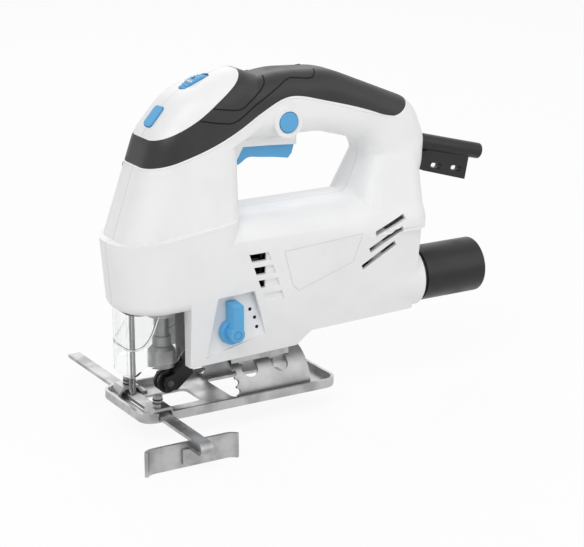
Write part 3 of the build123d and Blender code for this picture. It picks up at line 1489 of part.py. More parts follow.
# Everything that is cut out of the finished shell
with BuildPart() as cuts:
    add(block_between((skirt_front - wall - moving_gap, -window_half_width, 0),
                      (skirt_front + moving_gap, window_half_width, nose_floor)))
    add(upright_rod(blade_line, seal_bore, 0, nose_floor + 2 * wall))
    for aside in (wire_half_gap, -wire_half_gap):
        add(upright_rod(wire_line, wire_radius + seat_gap, 0, wire_top + seat_gap, aside))
    add(block_between((lens_span[0] - seat_gap, -lens_half_width - seat_gap, nose_floor - wall),
                      (lens_span[1] + seat_gap, lens_half_width + seat_gap, lens_top)))
    for step in range(front_vent_count):
        front = front_vent_start[0] + step * front_vent_step[0]
        middle = front_vent_start[1] + step * front_vent_step[1]
        rise = front_vent_size[1] / 2
        lean = front_vent_lean * rise
        rear = front - front_vent_size[0]
        floor = body_half_width + flare(middle) - front_vent_depth
        slot = [(front - lean, middle - rise), (front + lean, middle + rise),
                (rear + lean, middle + rise), (rear - lean, middle - rise)]
        open_part = [slot[0], slot[1], (front_vent_open_to, middle + rise), (front_vent_open_to, middle - rise)]
        for start, end in ((floor, far), (-far, -floor)):
            add(side_plate(slot, start, end))
        if front - lean > front_vent_open_to:
            for start, end in ((stator_radius, far), (-far, -stator_radius)):
                add(side_plate(open_part, start, end))
    for start, end in ((rear_vent_floor, far), (-far, -rear_vent_floor)):
        with BuildSketch(Plane.XZ.offset(-end)):
            for head, tail in rear_vents:
                with BuildLine():
                    Line(head, tail)
                trace(line_width=rear_vent_width)
        extrude(amount=end - start)
    add(side_plate(recess_outline, recess_floor, far))
    add(side_rod(*lever_pivot, lever_shaft_radius + running_fit, 0, far))
    add(side_rod(*lock_point, lock_radius + running_gap, 0, far))
    add(block_between((trigger_slot[0], -trigger_half_width - moving_gap, trigger_back[1][1]),
                      (trigger_slot[1], trigger_half_width + moving_gap, trigger_slot[2])))
    with BuildSketch(dial_plane.offset(-2 * wall)):
        SlotOverall(dial_slot_length, 2 * (dial_half_width + moving_gap))
    extrude(amount=4 * wall)
    add(side_rod(*dial_centre, dial_radius + moving_gap, -dial_half_width - moving_gap,
                 dial_half_width + moving_gap))
    with BuildSketch(light_plane.offset(-2 * wall)):
        RectangleRounded(light_button_size[0] + 2 * running_gap, light_button_size[1] + 2 * running_gap,
                         light_button_round)
    extrude(amount=4 * wall)
    add(cord_rod(sleeve_radius + running_gap, sleeve_collar_span[1], 4 * wall))
    add(cord_rod(sleeve_collar_radius + running_gap, sleeve_collar_span[0] - running_gap,
                 sleeve_collar_span[1] + running_gap))
    add(side_rod(*trigger_pivot, trigger_pin_radius + bore_fit, -trigger_pin_half_length - seat_gap,
                 trigger_pin_half_length + seat_gap))
    for point, seat in zip(screw_points, screw_seats):
        add(side_rod(*point, screw_head_radius + running_gap, -far, seat))
        add(side_rod(*point, screw_radius + bore_fit, seat, screw_reach + seat_gap))

for name, keep in (("housing_left", Keep.BOTTOM), ("housing_right", Keep.TOP)):
    with BuildPart() as housing:
        add(shell.part)
        add(cuts.part, mode=Mode.SUBTRACT)
        split(bisect_by=Plane.XZ, keep=keep)
    housing.part.label = name
    export_step(housing.part, f"parts/{name}.step")
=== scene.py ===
from math import acos, cos, degrees, pi, radians, sin

import bpy
import bmesh
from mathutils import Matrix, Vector
from mathutils.bvhtree import BVHTree


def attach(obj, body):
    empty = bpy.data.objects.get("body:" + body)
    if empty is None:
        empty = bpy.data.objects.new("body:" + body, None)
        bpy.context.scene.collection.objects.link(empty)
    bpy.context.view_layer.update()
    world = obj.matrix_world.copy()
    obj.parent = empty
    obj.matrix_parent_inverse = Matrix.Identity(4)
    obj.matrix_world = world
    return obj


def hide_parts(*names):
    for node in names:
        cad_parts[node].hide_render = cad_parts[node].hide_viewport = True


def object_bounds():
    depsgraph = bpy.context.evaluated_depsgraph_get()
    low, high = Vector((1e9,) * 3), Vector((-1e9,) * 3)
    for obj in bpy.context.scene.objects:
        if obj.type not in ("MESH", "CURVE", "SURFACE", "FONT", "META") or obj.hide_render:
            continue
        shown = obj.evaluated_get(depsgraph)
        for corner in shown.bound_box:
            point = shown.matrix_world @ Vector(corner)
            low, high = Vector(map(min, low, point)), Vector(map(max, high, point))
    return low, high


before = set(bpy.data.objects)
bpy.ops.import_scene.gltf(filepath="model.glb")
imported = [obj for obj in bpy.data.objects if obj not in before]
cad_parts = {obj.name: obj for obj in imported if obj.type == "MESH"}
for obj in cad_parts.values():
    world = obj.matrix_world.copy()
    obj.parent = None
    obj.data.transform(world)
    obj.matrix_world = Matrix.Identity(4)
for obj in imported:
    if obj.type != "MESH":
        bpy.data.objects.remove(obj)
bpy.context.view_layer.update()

mm = 0.001  # the frame is in metres, the pieces' dictionaries are in millimetres
scene = bpy.context.scene
scene.view_settings.view_transform = "Standard"
print("frame loaded:", len(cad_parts), "nodes")


def addObject(name, data):
    made = bpy.data.objects.new(name, data)
    scene.collection.objects.link(made)
    return made


# camera at the photograph's angle
view = {"azimuth": 149.3, "elevation": 16.93, "distance": 1.1707, "target": (-0.05995, 0, 0.06736),
        "focalPixels": 1900, "imageWidth": 584, "sensorWidth": 36, "clip": (0.05, 20)}


def placeCamera(spec):
    turn, rise = radians(spec["azimuth"]), radians(spec["elevation"])
    back = Vector((sin(turn) * cos(rise), -cos(turn) * cos(rise), sin(rise)))
    data = bpy.data.cameras.new("photoCamera")
    data.sensor_width = spec["sensorWidth"]
    data.lens = spec["focalPixels"] * spec["sensorWidth"] / spec["imageWidth"]
    data.clip_start, data.clip_end = spec["clip"]
    camera = addObject("photoCamera", data)
    camera.location = Vector(spec["target"]) + back * spec["distance"]
    camera.rotation_euler = back.to_track_quat("Z", "Y").to_euler()
    scene.camera = camera


placeCamera(view)

# shader helpers


def wire(tree, source, target):
    tree.links.new(source, target)


def mathNode(tree, operation, first, second=None, third=None):
    node = tree.nodes.new("ShaderNodeMath")
    node.operation = operation
    for socket, value in zip(node.inputs, (first, second, third)):
        if value is None:
            continue
        if isinstance(value, (int, float)):
            socket.default_value = value
        else:
            wire(tree, value, socket)
    return node.outputs[0]


def ramp(tree, source, low, high, start, end):
    node = tree.nodes.new("ShaderNodeMapRange")
    node.interpolation_type = "SMOOTHSTEP"
    wire(tree, source, node.inputs["Value"])
    for name, value in (("From Min", low), ("From Max", high), ("To Min", start), ("To Max", end)):
        node.inputs[name].default_value = value
    return node.outputs["Result"]


def mixColour(tree, factor, first, second):
    node = tree.nodes.new("ShaderNodeMix")
    node.data_type = "RGBA"
    wire(tree, factor, node.inputs["Factor"])
    for socket, value in ((node.inputs["A"], first), (node.inputs["B"], second)):
        if isinstance(value, tuple):
            socket.default_value = (*value, 1)
        else:
            wire(tree, value, socket)
    return node.outputs["Result"]


def noise(tree, vector, scale, detail=2.0):
    node = tree.nodes.new("ShaderNodeTexNoise")
    wire(tree, vector, node.inputs["Vector"])
    node.inputs["Scale"].default_value = scale
    node.inputs["Detail"].default_value = detail
    return node.outputs["Fac"]


def stretched(tree, vector, scale):
    node = tree.nodes.new("ShaderNodeMapping")
    wire(tree, vector, node.inputs["Vector"])
    node.inputs["Scale"].default_value = scale
    return node.outputs["Vector"]


def socketGroup(name, inputs, outputs):
    group = bpy.data.node_groups.new(name, "ShaderNodeTree")
    for label, kind in inputs:
        group.interface.new_socket(label, in_out="INPUT", socket_type=kind)
    for label, kind in outputs:
        group.interface.new_socket(label, in_out="OUTPUT", socket_type=kind)
    return group, group.nodes.new("NodeGroupInput"), group.nodes.new("NodeGroupOutput")


# moulded skin: fine spark texture, a slow drift in tone, and handling marks
skinLook = {"grainDetail": 3, "driftDetail": 4, "driftBand": (0.3, 0.7), "rubScale": 70, "rubDetail": 6,
            "rubBand": (0.45, 0.7), "depth": 0.0001}


def mouldGroup(spec):
    group, given, result = socketGroup(
        "mouldedSkin",
        [("Vector", "NodeSocketVector"), ("Grain", "NodeSocketFloat"), ("Drift", "NodeSocketFloat")],
        [("Tone", "NodeSocketFloat"), ("Height", "NodeSocketFloat"), ("Rub", "NodeSocketFloat")])
    grain = group.nodes.new("ShaderNodeTexNoise")
    drift = group.nodes.new("ShaderNodeTexNoise")
    rub = group.nodes.new("ShaderNodeTexNoise")
    for node, socket in ((grain, "Grain"), (drift, "Drift")):
        wire(group, given.outputs["Vector"], node.inputs["Vector"])
        wire(group, given.outputs[socket], node.inputs["Scale"])
    grain.inputs["Detail"].default_value = spec["grainDetail"]
    drift.inputs["Detail"].default_value = spec["driftDetail"]
    wire(group, given.outputs["Vector"], rub.inputs["Vector"])
    rub.inputs["Scale"].default_value = spec["rubScale"]
    rub.inputs["Detail"].default_value = spec["rubDetail"]
    wire(group, ramp(group, drift.outputs["Fac"], *spec["driftBand"], 0, 1), result.inputs["Tone"])
    wire(group, grain.outputs["Fac"], result.inputs["Height"])
    wire(group, ramp(group, rub.outputs["Fac"], *spec["rubBand"], 0, 1), result.inputs["Rub"])
    return group


# drawn metal: long brush lines and faint stains
metalLook = {"lineDetail": 3, "stainDetail": 5, "stainBand": (0.35, 0.7), "depth": 0.00005}


def metalGroup(spec):
    group, given, result = socketGroup(
        "workedMetal",
        [("Vector", "NodeSocketVector"), ("Stretch", "NodeSocketVector"), ("Stain", "NodeSocketFloat")],
        [("Lines", "NodeSocketFloat"), ("Stains", "NodeSocketFloat")])
    drawn = group.nodes.new("ShaderNodeVectorMath")
    drawn.operation = "MULTIPLY"
    wire(group, given.outputs["Vector"], drawn.inputs[0])
    wire(group, given.outputs["Stretch"], drawn.inputs[1])
    lines = group.nodes.new("ShaderNodeTexNoise")
    wire(group, drawn.outputs[0], lines.inputs["Vector"])
    lines.inputs["Scale"].default_value = 1
    lines.inputs["Detail"].default_value = spec["lineDetail"]
    stain = group.nodes.new("ShaderNodeTexNoise")
    wire(group, given.outputs["Vector"], stain.inputs["Vector"])
    wire(group, given.outputs["Stain"], stain.inputs["Scale"])
    stain.inputs["Detail"].default_value = spec["stainDetail"]
    wire(group, lines.outputs["Fac"], result.inputs["Lines"])
    wire(group, ramp(group, stain.outputs["Fac"], *spec["stainBand"], 0, 1), result.inputs["Stains"])
    return group


groups = {"mould": mouldGroup(skinLook), "metal": metalGroup(metalLook)}


def blankMaterial(name):
    material = bpy.data.materials.new(name)
    material.use_nodes = True
    tree = material.node_tree
    shader = tree.nodes["Principled BSDF"]
    place = tree.nodes.new("ShaderNodeTexCoord").outputs["Object"]
    return material, tree, shader, place


def bumpFrom(tree, shader, height, strength, distance):
    node = tree.nodes.new("ShaderNodeBump")
    wire(tree, height, node.inputs["Height"])
    node.inputs["Strength"].default_value = strength
    node.inputs["Distance"].default_value = distance
    wire(tree, node.outputs["Normal"], shader.inputs["Normal"])


def useGroup(tree, key, place, **values):
    node = tree.nodes.new("ShaderNodeGroup")
    node.node_tree = groups[key]
    wire(tree, place, node.inputs["Vector"])
    for name, value in values.items():
        node.inputs[name].default_value = value
    return node


def mouldedMaterial(name, spec):
    material, tree, shader, place = blankMaterial(name)
    skin = useGroup(tree, "mould", place, Grain=spec["grain"], Drift=spec["drift"])
    colour = mixColour(tree, skin.outputs["Tone"], spec["colour"], spec["shade"])
    rubbed = mathNode(tree, "MULTIPLY", skin.outputs["Rub"], spec["rub"])
    wire(tree, mixColour(tree, rubbed, colour, spec["worn"]), shader.inputs["Base Color"])
    rough = mathNode(tree, "MULTIPLY_ADD", skin.outputs["Rub"], spec["roughDrift"], spec["rough"])
    wire(tree, rough, shader.inputs["Roughness"])
    shader.inputs["Specular IOR Level"].default_value = spec["gloss"]
    bumpFrom(tree, shader, skin.outputs["Height"], spec["bump"], skinLook["depth"])
    return material


def metalMaterial(name, spec):
    material, tree, shader, place = blankMaterial(name)
    worked = useGroup(tree, "metal", place, Stretch=spec["stretch"], Stain=spec["stain"])
    colour = mixColour(tree, worked.outputs["Stains"], spec["colour"], spec["shade"])
    wire(tree, colour, shader.inputs["Base Color"])
    shader.inputs["Metallic"].default_value = 1
    rough = mathNode(tree, "MULTIPLY_ADD", worked.outputs["Lines"], spec["roughDrift"], spec["rough"])
    wire(tree, mathNode(tree, "MULTIPLY_ADD", worked.outputs["Stains"], spec["stainRough"], rough),
         shader.inputs["Roughness"])
    bumpFrom(tree, shader, worked.outputs["Lines"], spec["bump"], metalLook["depth"])
    return material


# finishes
shellFinish = {"colour": (0.87, 0.87, 0.87), "shade": (0.84, 0.84, 0.845), "worn": (0.72, 0.72, 0.72),
               "rub": 0.12, "grain": 2600.0, "drift": 14.0, "rough": 0.4, "roughDrift": 0.06, "gloss": 0.45,
               "bump": 0.12}
gripFinish = {"colour": (0.014, 0.014, 0.015), "shade": (0.019, 0.019, 0.02), "worn": (0.032, 0.032, 0.033),
              "rub": 0.45, "grain": 850.0, "drift": 25.0, "rough": 0.42, "roughDrift": 0.14, "gloss": 0.45,
              "bump": 0.7}
blueFinish = {"colour": (0.105, 0.4, 0.7), "shade": (0.095, 0.37, 0.67), "worn": (0.15, 0.45, 0.74),
              "rub": 0.2, "grain": 2400.0, "drift": 40.0, "rough": 0.42, "roughDrift": 0.08, "gloss": 0.4,
              "bump": 0.12}
blackFinish = {"colour": (0.005, 0.005, 0.0055), "shade": (0.008, 0.008, 0.0085),
               "worn": (0.016, 0.016, 0.016), "rub": 0.45, "grain": 900.0, "drift": 30.0, "rough": 0.36,
               "roughDrift": 0.16, "gloss": 0.4, "bump": 0.5}
sealFinish = {"colour": (0.62, 0.6, 0.55), "shade": (0.55, 0.53, 0.48), "worn": (0.5, 0.48, 0.44), "rub": 0.3,
              "grain": 1500.0, "drift": 60.0, "rough": 0.45, "roughDrift": 0.1, "gloss": 0.4, "bump": 0.15}
carbonFinish = {"colour": (0.03, 0.03, 0.032), "shade": (0.04, 0.04, 0.042), "worn": (0.07, 0.07, 0.07),
                "rub": 0.5, "grain": 2000.0, "drift": 90.0, "rough": 0.6, "roughDrift": 0.2, "gloss": 0.3,
                "bump": 0.3}
zincFinish = {"colour": (0.5, 0.5, 0.505), "shade": (0.33, 0.33, 0.335), "stretch": (90.0, 1500.0, 1500.0),
              "stain": 75.0, "rough": 0.26, "roughDrift": 0.14, "stainRough": 0.1, "bump": 0.25}
brightFinish = {"colour": (0.4, 0.4, 0.405), "shade": (0.29, 0.29, 0.295), "stretch": (1400.0, 120.0, 1400.0),
                "stain": 40.0, "rough": 0.28, "roughDrift": 0.12, "stainRough": 0.08, "bump": 0.15}
turnedFinish = {"colour": (0.3, 0.3, 0.305), "shade": (0.22, 0.22, 0.225), "stretch": (300.0, 300.0, 2600.0),
                "stain": 70.0, "rough": 0.26, "roughDrift": 0.14, "stainRough": 0.1, "bump": 0.2}
castFinish = {"colour": (0.45, 0.45, 0.46), "shade": (0.38, 0.38, 0.39), "stretch": (500.0, 500.0, 500.0),
              "stain": 80.0, "rough": 0.42, "roughDrift": 0.2, "stainRough": 0.1, "bump": 0.5}
ironFinish = {"colour": (0.16, 0.16, 0.17), "shade": (0.11, 0.11, 0.115), "stretch": (3000.0, 60.0, 60.0),
              "stain": 60.0, "rough": 0.45, "roughDrift": 0.2, "stainRough": 0.1, "bump": 0.4}
# windings are painted dark: painted shade for the motor's dark inside seen through the vents
shadedCopperFinish = {"colour": (0.075, 0.042, 0.032), "shade": (0.05, 0.028, 0.022),
                "stretch": (1200.0, 300.0, 300.0), "stain": 60.0, "rough": 0.32, "roughDrift": 0.2,
                "stainRough": 0.1, "bump": 0.5}
bronzeFinish = {"colour": (0.52, 0.37, 0.16), "shade": (0.42, 0.29, 0.12), "stretch": (400.0, 400.0, 400.0),
                "stain": 70.0, "rough": 0.38, "roughDrift": 0.2, "stainRough": 0.1, "bump": 0.4}
clearFinish = {"colour": (0.97, 0.98, 0.98), "rough": 0.06, "ior": 1.49, "scratch": 0.08,
               "scuffStretch": (400, 400, 1600), "scuffDetail": 5.0, "scuffBand": (0.5, 0.8), "bump": 0.05}


def clearMaterial(name, spec):
    material, tree, shader, place = blankMaterial(name)
    scuff = noise(tree, stretched(tree, place, spec["scuffStretch"]), 1.0, spec["scuffDetail"])
    shader.inputs["Base Color"].default_value = (*spec["colour"], 1)
    wire(tree, ramp(tree, scuff, *spec["scuffBand"], spec["rough"], spec["rough"] + spec["scratch"]),
         shader.inputs["Roughness"])
    shader.inputs["IOR"].default_value = spec["ior"]
    shader.inputs["Transmission Weight"].default_value = 1
    bumpFrom(tree, shader, scuff, spec["bump"], metalLook["depth"])
    return material


# white shell with the fine joint line where its two halves meet
seamLine = {"edge": (0.00008, 0.0003), "strength": 0.55, "colour": (0.3, 0.3, 0.3)}


def shellMaterial(name, spec):
    material = mouldedMaterial(name, spec)
    tree = material.node_tree
    shader = tree.nodes["Principled BSDF"]
    place = tree.nodes["Texture Coordinate"].outputs["Object"]
    apart = tree.nodes.new("ShaderNodeSeparateXYZ")
    wire(tree, place, apart.inputs[0])
    seam = ramp(tree, mathNode(tree, "ABSOLUTE", apart.outputs["Y"]), *seamLine["edge"], 1, 0)
    colour = shader.inputs["Base Color"].links[0].from_socket
    shown = mathNode(tree, "MULTIPLY", seam, seamLine["strength"])
    wire(tree, mixColour(tree, shown, colour, seamLine["colour"]), shader.inputs["Base Color"])
    return material


finishes = {
    "shell": shellMaterial("whiteShell", shellFinish), "grip": mouldedMaterial("softGrip", gripFinish),
    "control": mouldedMaterial("blueControl", blueFinish),
    "black": mouldedMaterial("blackMoulding", blackFinish),
    "seal": mouldedMaterial("paleSeal", sealFinish), "carbon": mouldedMaterial("brushCarbon", carbonFinish),
    "zinc": metalMaterial("platedSheet", zincFinish), "bright": metalMaterial("brightSheet", brightFinish),
    "turned": metalMaterial("turnedSteel", turnedFinish), "cast": metalMaterial("castCase", castFinish),
    "iron": metalMaterial("coreIron", ironFinish), "copper": metalMaterial("windingCopperInShade", shadedCopperFinish),
    "bronze": metalMaterial("bushBronze", bronzeFinish), "clear": clearMaterial("clearGuard", clearFinish)}
print("materials ready:", len(finishes))

nodeFinish = {
    "shell": ["housing_left", "housing_right"],
    "grip": ["soft_grip_left", "soft_grip_right"],
    "control": ["speed_dial", "light_button", "lock_button", "trigger", "pendulum_lever"],
    "black": ["dust_adapter", "dust_duct", "main_switch", "light_switch", "cord_clamp", "fan",
              "brush_holders", "guide_fork", "speed_board", "cord_sleeve", "guide_roller"],
    "clear": ["chip_guard", "light_lens"],
    "seal": ["plunger_seal"],
    "zinc": ["base_plate", "fence_bar", "fence_plate", "saddle_clamp", "base_mount", "fence_screw_left",
             "fence_screw_right"],
    "bright": ["base_saddle"],
    "turned": ["finger_wire", "plunger_rod", "blade_collar", "collar_sleeve", "plunger_yoke", "crank_pin",
               "crank_roller", "gear_spindle", "armature_shaft", "front_bearing", "rear_bearing",
               "drive_gear", "fork_pin", "trigger_pin", "dial_axle", "orbit_cam", "saddle_bolts",
               "housing_screws", "brush_springs"],
    "iron": ["stator_core", "armature_core", "roller_pin"],
    # the copper parts take the darkened copper, a painted shade of the motor's inside
    "copper": ["armature_winding", "field_coils", "commutator"],
    "bronze": ["upper_bush", "lower_bush"],
    "carbon": ["carbon_brushes"],
    "cast": ["gear_case"]}

# clean shading for the carried solids: weld the loose faces and keep only true corners sharp
shading = {"weld": 0.00001, "cornerAngle": 28}


def shadingTree(spec):
    tree = bpy.data.node_groups.new("cleanShading", "GeometryNodeTree")
    tree.interface.new_socket("Geometry", in_out="INPUT", socket_type="NodeSocketGeometry")
    corner = tree.interface.new_socket("Corner Angle", in_out="INPUT", socket_type="NodeSocketFloat")
    corner.default_value = radians(spec["cornerAngle"])
    tree.interface.new_socket("Geometry", in_out="OUTPUT", socket_type="NodeSocketGeometry")
    given, result = tree.nodes.new("NodeGroupInput"), tree.nodes.new("NodeGroupOutput")
    weld = tree.nodes.new("GeometryNodeMergeByDistance")
    weld.inputs["Distance"].default_value = spec["weld"]
    faces = tree.nodes.new("GeometryNodeSetShadeSmooth")
    faces.domain = "FACE"
    edges = tree.nodes.new("GeometryNodeSetShadeSmooth")
    edges.domain = "EDGE"
    edges.inputs["Shade Smooth"].default_value = False
    angle = tree.nodes.new("GeometryNodeInputMeshEdgeAngle")
    sharp = tree.nodes.new("FunctionNodeCompare")
    sharp.operation = "GREATER_THAN"
    tree.links.new(given.outputs["Geometry"], weld.inputs["Geometry"])
    tree.links.new(weld.outputs["Geometry"], faces.inputs["Geometry"])
    tree.links.new(faces.outputs["Geometry"], edges.inputs["Geometry"])
    tree.links.new(angle.outputs["Unsigned Angle"], sharp.inputs["A"])
    tree.links.new(given.outputs["Corner Angle"], sharp.inputs["B"])
    tree.links.new(sharp.outputs["Result"], edges.inputs["Selection"])
    tree.links.new(edges.outputs["Geometry"], result.inputs["Geometry"])
    return tree


cleanTree = shadingTree(shading)
for finish, names in nodeFinish.items():
    for name in names:
        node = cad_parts[name]
        node.data.materials.clear()
        node.data.materials.append(finishes[finish])
        node.modifiers.new("cleanShading", "NODES").node_group = cleanTree
print("solids dressed:", sum(len(names) for names in nodeFinish.values()))


# copy of one of the frame's solids, in its place
def copyOf(name):
    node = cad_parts[name]
    body = bmesh.new()
    body.from_mesh(node.data)
    body.transform(node.matrix_world)
    return body


def meshFrom(name, body):
    mesh = bpy.data.meshes.new(name)
    body.to_mesh(mesh)
    body.free()
    return mesh


# housing screws, with the two on the sloping nose sunk until their heads lie under its surface
noseScrews = {"from": 30.0, "sink": 2.0}


def sunkScrews(spec):
    body = copyOf("housing_screws")
    bmesh.ops.remove_doubles(body, verts=body.verts, dist=shading["weld"])
    for vert in body.verts:
        if vert.co.x > spec["from"] * mm:
            vert.co.y += spec["sink"] * mm
    return meshFrom("housingScrews", body)


bpy.context.view_layer.update()
housingScrews = addObject("housingScrews", sunkScrews(noseScrews))
housingScrews.data.materials.append(finishes["turned"])
housingScrews.modifiers.new("cleanShading", "NODES").node_group = cleanTree
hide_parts("housing_screws")
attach(housingScrews, "body")

# finishes of the lines and marks made in this script; the near-black groove finish is painted shade in the
# grip's and the screws' grooves, and the own dark colour of the lever's marks and the dial's ring mark
grooveShadeAndMarkFinish = {"colour": (0.006, 0.006, 0.006), "shade": (0.009, 0.009, 0.009),
                "worn": (0.014, 0.014, 0.014), "rub": 0.3, "grain": 1900.0, "drift": 30.0, "rough": 0.7,
                "roughDrift": 0.1, "gloss": 0.2, "bump": 0.1}
printFinish = {"colour": (0.85, 0.85, 0.85), "shade": (0.8, 0.8, 0.8), "worn": (0.7, 0.7, 0.7), "rub": 0.2,
               "grain": 2500.0, "drift": 50.0, "rough": 0.5, "roughDrift": 0.1, "gloss": 0.3, "bump": 0.05}
# grey line finish: painted shade in the panel outline's groove, and the own colour of the fence bar's scale
# marks
panelShadeAndScaleFinish = {"colour": (0.68, 0.68, 0.68), "shade": (0.63, 0.63, 0.63), "worn": (0.5, 0.5, 0.5), "rub": 0.2,
               "grain": 2500.0, "drift": 50.0, "rough": 0.6, "roughDrift": 0.1, "gloss": 0.2, "bump": 0.05}
# darker blue ring finish: painted shade in the lever's engraved ring groove
ringShadeFinish = {**blueFinish, "colour": (0.05, 0.27, 0.53), "shade": (0.045, 0.25, 0.5)}
finishes["groove"] = mouldedMaterial("grooveShadowAndMarks", grooveShadeAndMarkFinish)
finishes["ring"] = mouldedMaterial("ringGrooveShade", ringShadeFinish)
finishes["print"] = mouldedMaterial("whitePrint", printFinish)
finishes["joint"] = mouldedMaterial("panelLine", panelShadeAndScaleFinish)


# Geometry Nodes builders: a path or a set of points becomes a piece
def builderTree(name, inputs):
    tree = bpy.data.node_groups.new(name, "GeometryNodeTree")
    tree.interface.new_socket("Geometry", in_out="INPUT", socket_type="NodeSocketGeometry")
    for label, kind in inputs:
        tree.interface.new_socket(label, in_out="INPUT", socket_type=kind)
    tree.interface.new_socket("Material", in_out="INPUT", socket_type="NodeSocketMaterial")
    tree.interface.new_socket("Geometry", in_out="OUTPUT", socket_type="NodeSocketGeometry")
    return tree, tree.nodes.new("NodeGroupInput"), tree.nodes.new("NodeGroupOutput")


def closeTree(tree, given, result, made):
    real = tree.nodes.new("GeometryNodeRealizeInstances")
    paint = tree.nodes.new("GeometryNodeSetMaterial")
    wire(tree, made, real.inputs["Geometry"])
    wire(tree, real.outputs["Geometry"], paint.inputs["Geometry"])
    wire(tree, given.outputs["Material"], paint.inputs["Material"])
    wire(tree, paint.outputs["Geometry"], result.inputs["Geometry"])
    return tree


tubeSides = 10


# round wire along a path
def tubeTree():
    tree, given, result = builderTree("pathTube", [("Radius", "NodeSocketFloat")])
    path = tree.nodes.new("GeometryNodeMeshToCurve")
    ring = tree.nodes.new("GeometryNodeCurvePrimitiveCircle")
    ring.inputs["Resolution"].default_value = tubeSides
    sweep = tree.nodes.new("GeometryNodeCurveToMesh")
    sweep.inputs["Fill Caps"].default_value = True
    smooth = tree.nodes.new("GeometryNodeSetShadeSmooth")
    wire(tree, given.outputs["Geometry"], path.inputs["Mesh"])
    wire(tree, given.outputs["Radius"], ring.inputs["Radius"])
    wire(tree, path.outputs["Curve"], sweep.inputs["Curve"])
    wire(tree, ring.outputs["Curve"], sweep.inputs["Profile Curve"])
    wire(tree, sweep.outputs["Mesh"], smooth.inputs["Geometry"])
    return closeTree(tree, given, result, smooth.outputs["Geometry"])


# the same shape at every point: a size is the whole box of a bar, and the three radii of a stud
def repeatTree(name, shapeNode, shapeInput):
    tree, given, result = builderTree(name, [("Size", "NodeSocketVector")])
    places = tree.nodes.new("GeometryNodeInstanceOnPoints")
    shape = tree.nodes.new(shapeNode)
    wire(tree, given.outputs["Geometry"], places.inputs["Points"])
    if shapeInput:
        wire(tree, given.outputs["Size"], shape.inputs[shapeInput])
    else:
        wire(tree, given.outputs["Size"], places.inputs["Scale"])
    wire(tree, shape.outputs["Mesh"], places.inputs["Instance"])
    smooth = tree.nodes.new("GeometryNodeSetShadeSmooth")
    smooth.inputs["Shade Smooth"].default_value = shapeInput is None
    wire(tree, places.outputs["Instances"], smooth.inputs["Geometry"])
    return closeTree(tree, given, result, smooth.outputs["Geometry"])


# flat strip bent along a path
def stripTree():
    tree, given, result = builderTree("pathStrip", [("Width", "NodeSocketFloat"),
                                                    ("Thickness", "NodeSocketFloat")])
    path = tree.nodes.new("GeometryNodeMeshToCurve")
    section = tree.nodes.new("GeometryNodeCurvePrimitiveQuadrilateral")
    sweep = tree.nodes.new("GeometryNodeCurveToMesh")
    sweep.inputs["Fill Caps"].default_value = True
    corners = tree.nodes.new("GeometryNodeGroup")
    corners.node_tree = cleanTree
    wire(tree, given.outputs["Geometry"], path.inputs["Mesh"])
    wire(tree, given.outputs["Width"], section.inputs["Width"])
    wire(tree, given.outputs["Thickness"], section.inputs["Height"])
    wire(tree, path.outputs["Curve"], sweep.inputs["Curve"])
    wire(tree, section.outputs["Curve"], sweep.inputs["Profile Curve"])
    wire(tree, sweep.outputs["Mesh"], corners.inputs["Geometry"])
    return closeTree(tree, given, result, corners.outputs["Geometry"])


builders = {"tube": tubeTree(), "strip": stripTree(),
            "bars": repeatTree("barsOnPoints", "GeometryNodeMeshCube", "Size"),
            "studs": repeatTree("studsOnPoints", "GeometryNodeMeshUVSphere", None)}


def makePiece(name, builder, points, chain, finish, body, slot, **values):
    mesh = bpy.data.meshes.new(name)
    edges = [(index, index + 1) for index in range(len(points) - 1)] if chain else []
    mesh.from_pydata(points, edges, [])
    piece = addObject(name, mesh)
    build = piece.modifiers.new("build", "NODES")
    build.node_group = builders[builder]
    values["Material"] = finishes[finish]
    for socket in builders[builder].interface.items_tree:
        if socket.in_out == "INPUT" and socket.name in values:
            build[socket.identifier] = values[socket.name]
    made = bpy.data.meshes.new_from_object(piece.evaluated_get(bpy.context.evaluated_depsgraph_get()))
    piece.modifiers.remove(build)
    piece.data = made
    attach(piece, body)
    return piece


# a closed ring of unit points, its first point met again at its end
def unitRing(count):
    return [(cos(2 * pi * step / count), sin(2 * pi * step / count)) for step in range(count + 1)]


def scaled(values):
    return tuple(value * mm for value in values)


def surfaceOf(name):
    body = copyOf(name)
    tree = BVHTree.FromBMesh(body)
    body.free()
    return tree


# points at an even spacing along straight runs
def divided(outline, spacing):
    path = []
    for start, end in zip(outline, outline[1:]):
        start, end = Vector(start), Vector(end)
        steps = max(1, round((end - start).length / spacing))
        path.extend(start.lerp(end, step / steps) for step in range(steps))
    return path + [Vector(outline[-1])]


pathSpacing = 1.2
castFrom = 200  # well outside the part


# points of a side view line, dropped onto a surface from that side
def laidOn(surface, outline, side, lift):
    laid = []
    for point in divided(outline, pathSpacing):
        start = Vector(scaled((point.x, side * castFrom, point.y)))
        hit, normal, face, reach = surface.ray_cast(start, Vector((0, -side, 0)))
        if hit:
            laid.append(hit + normal * lift * mm)
    return laid


# engraved lines on the soft grip, drawn as near-black wire on its surface: painted shade of the grooves
gripLines = {"lines": [[(14.5, 175.8), (4, 173.4), (-4.5, 172), (-8, 172.2), (-12, 173.4), (-15.5, 175.2),
                        (-32, 184.6), (-46, 192.4), (-50, 193.4), (-61, 191.9), (-65, 192.0), (-70, 195.4)],
                       [(5.5, 181.8), (-8, 179.4), (-12, 179.1), (-16, 180), (-28, 187.8), (-32, 191.4),
                        (-35, 196.0)]],
             "radius": 0.4, "lift": 0.05}
for side, node in ((1, "soft_grip_left"), (-1, "soft_grip_right")):
    surface = surfaceOf(node)
    for number, line in enumerate(gripLines["lines"]):
        makePiece(f"gripLine_{node}_{number}", "tube", laidOn(surface, line, side, gripLines["lift"]), True,
                  "groove", "body", "grip", Radius=gripLines["radius"] * mm)

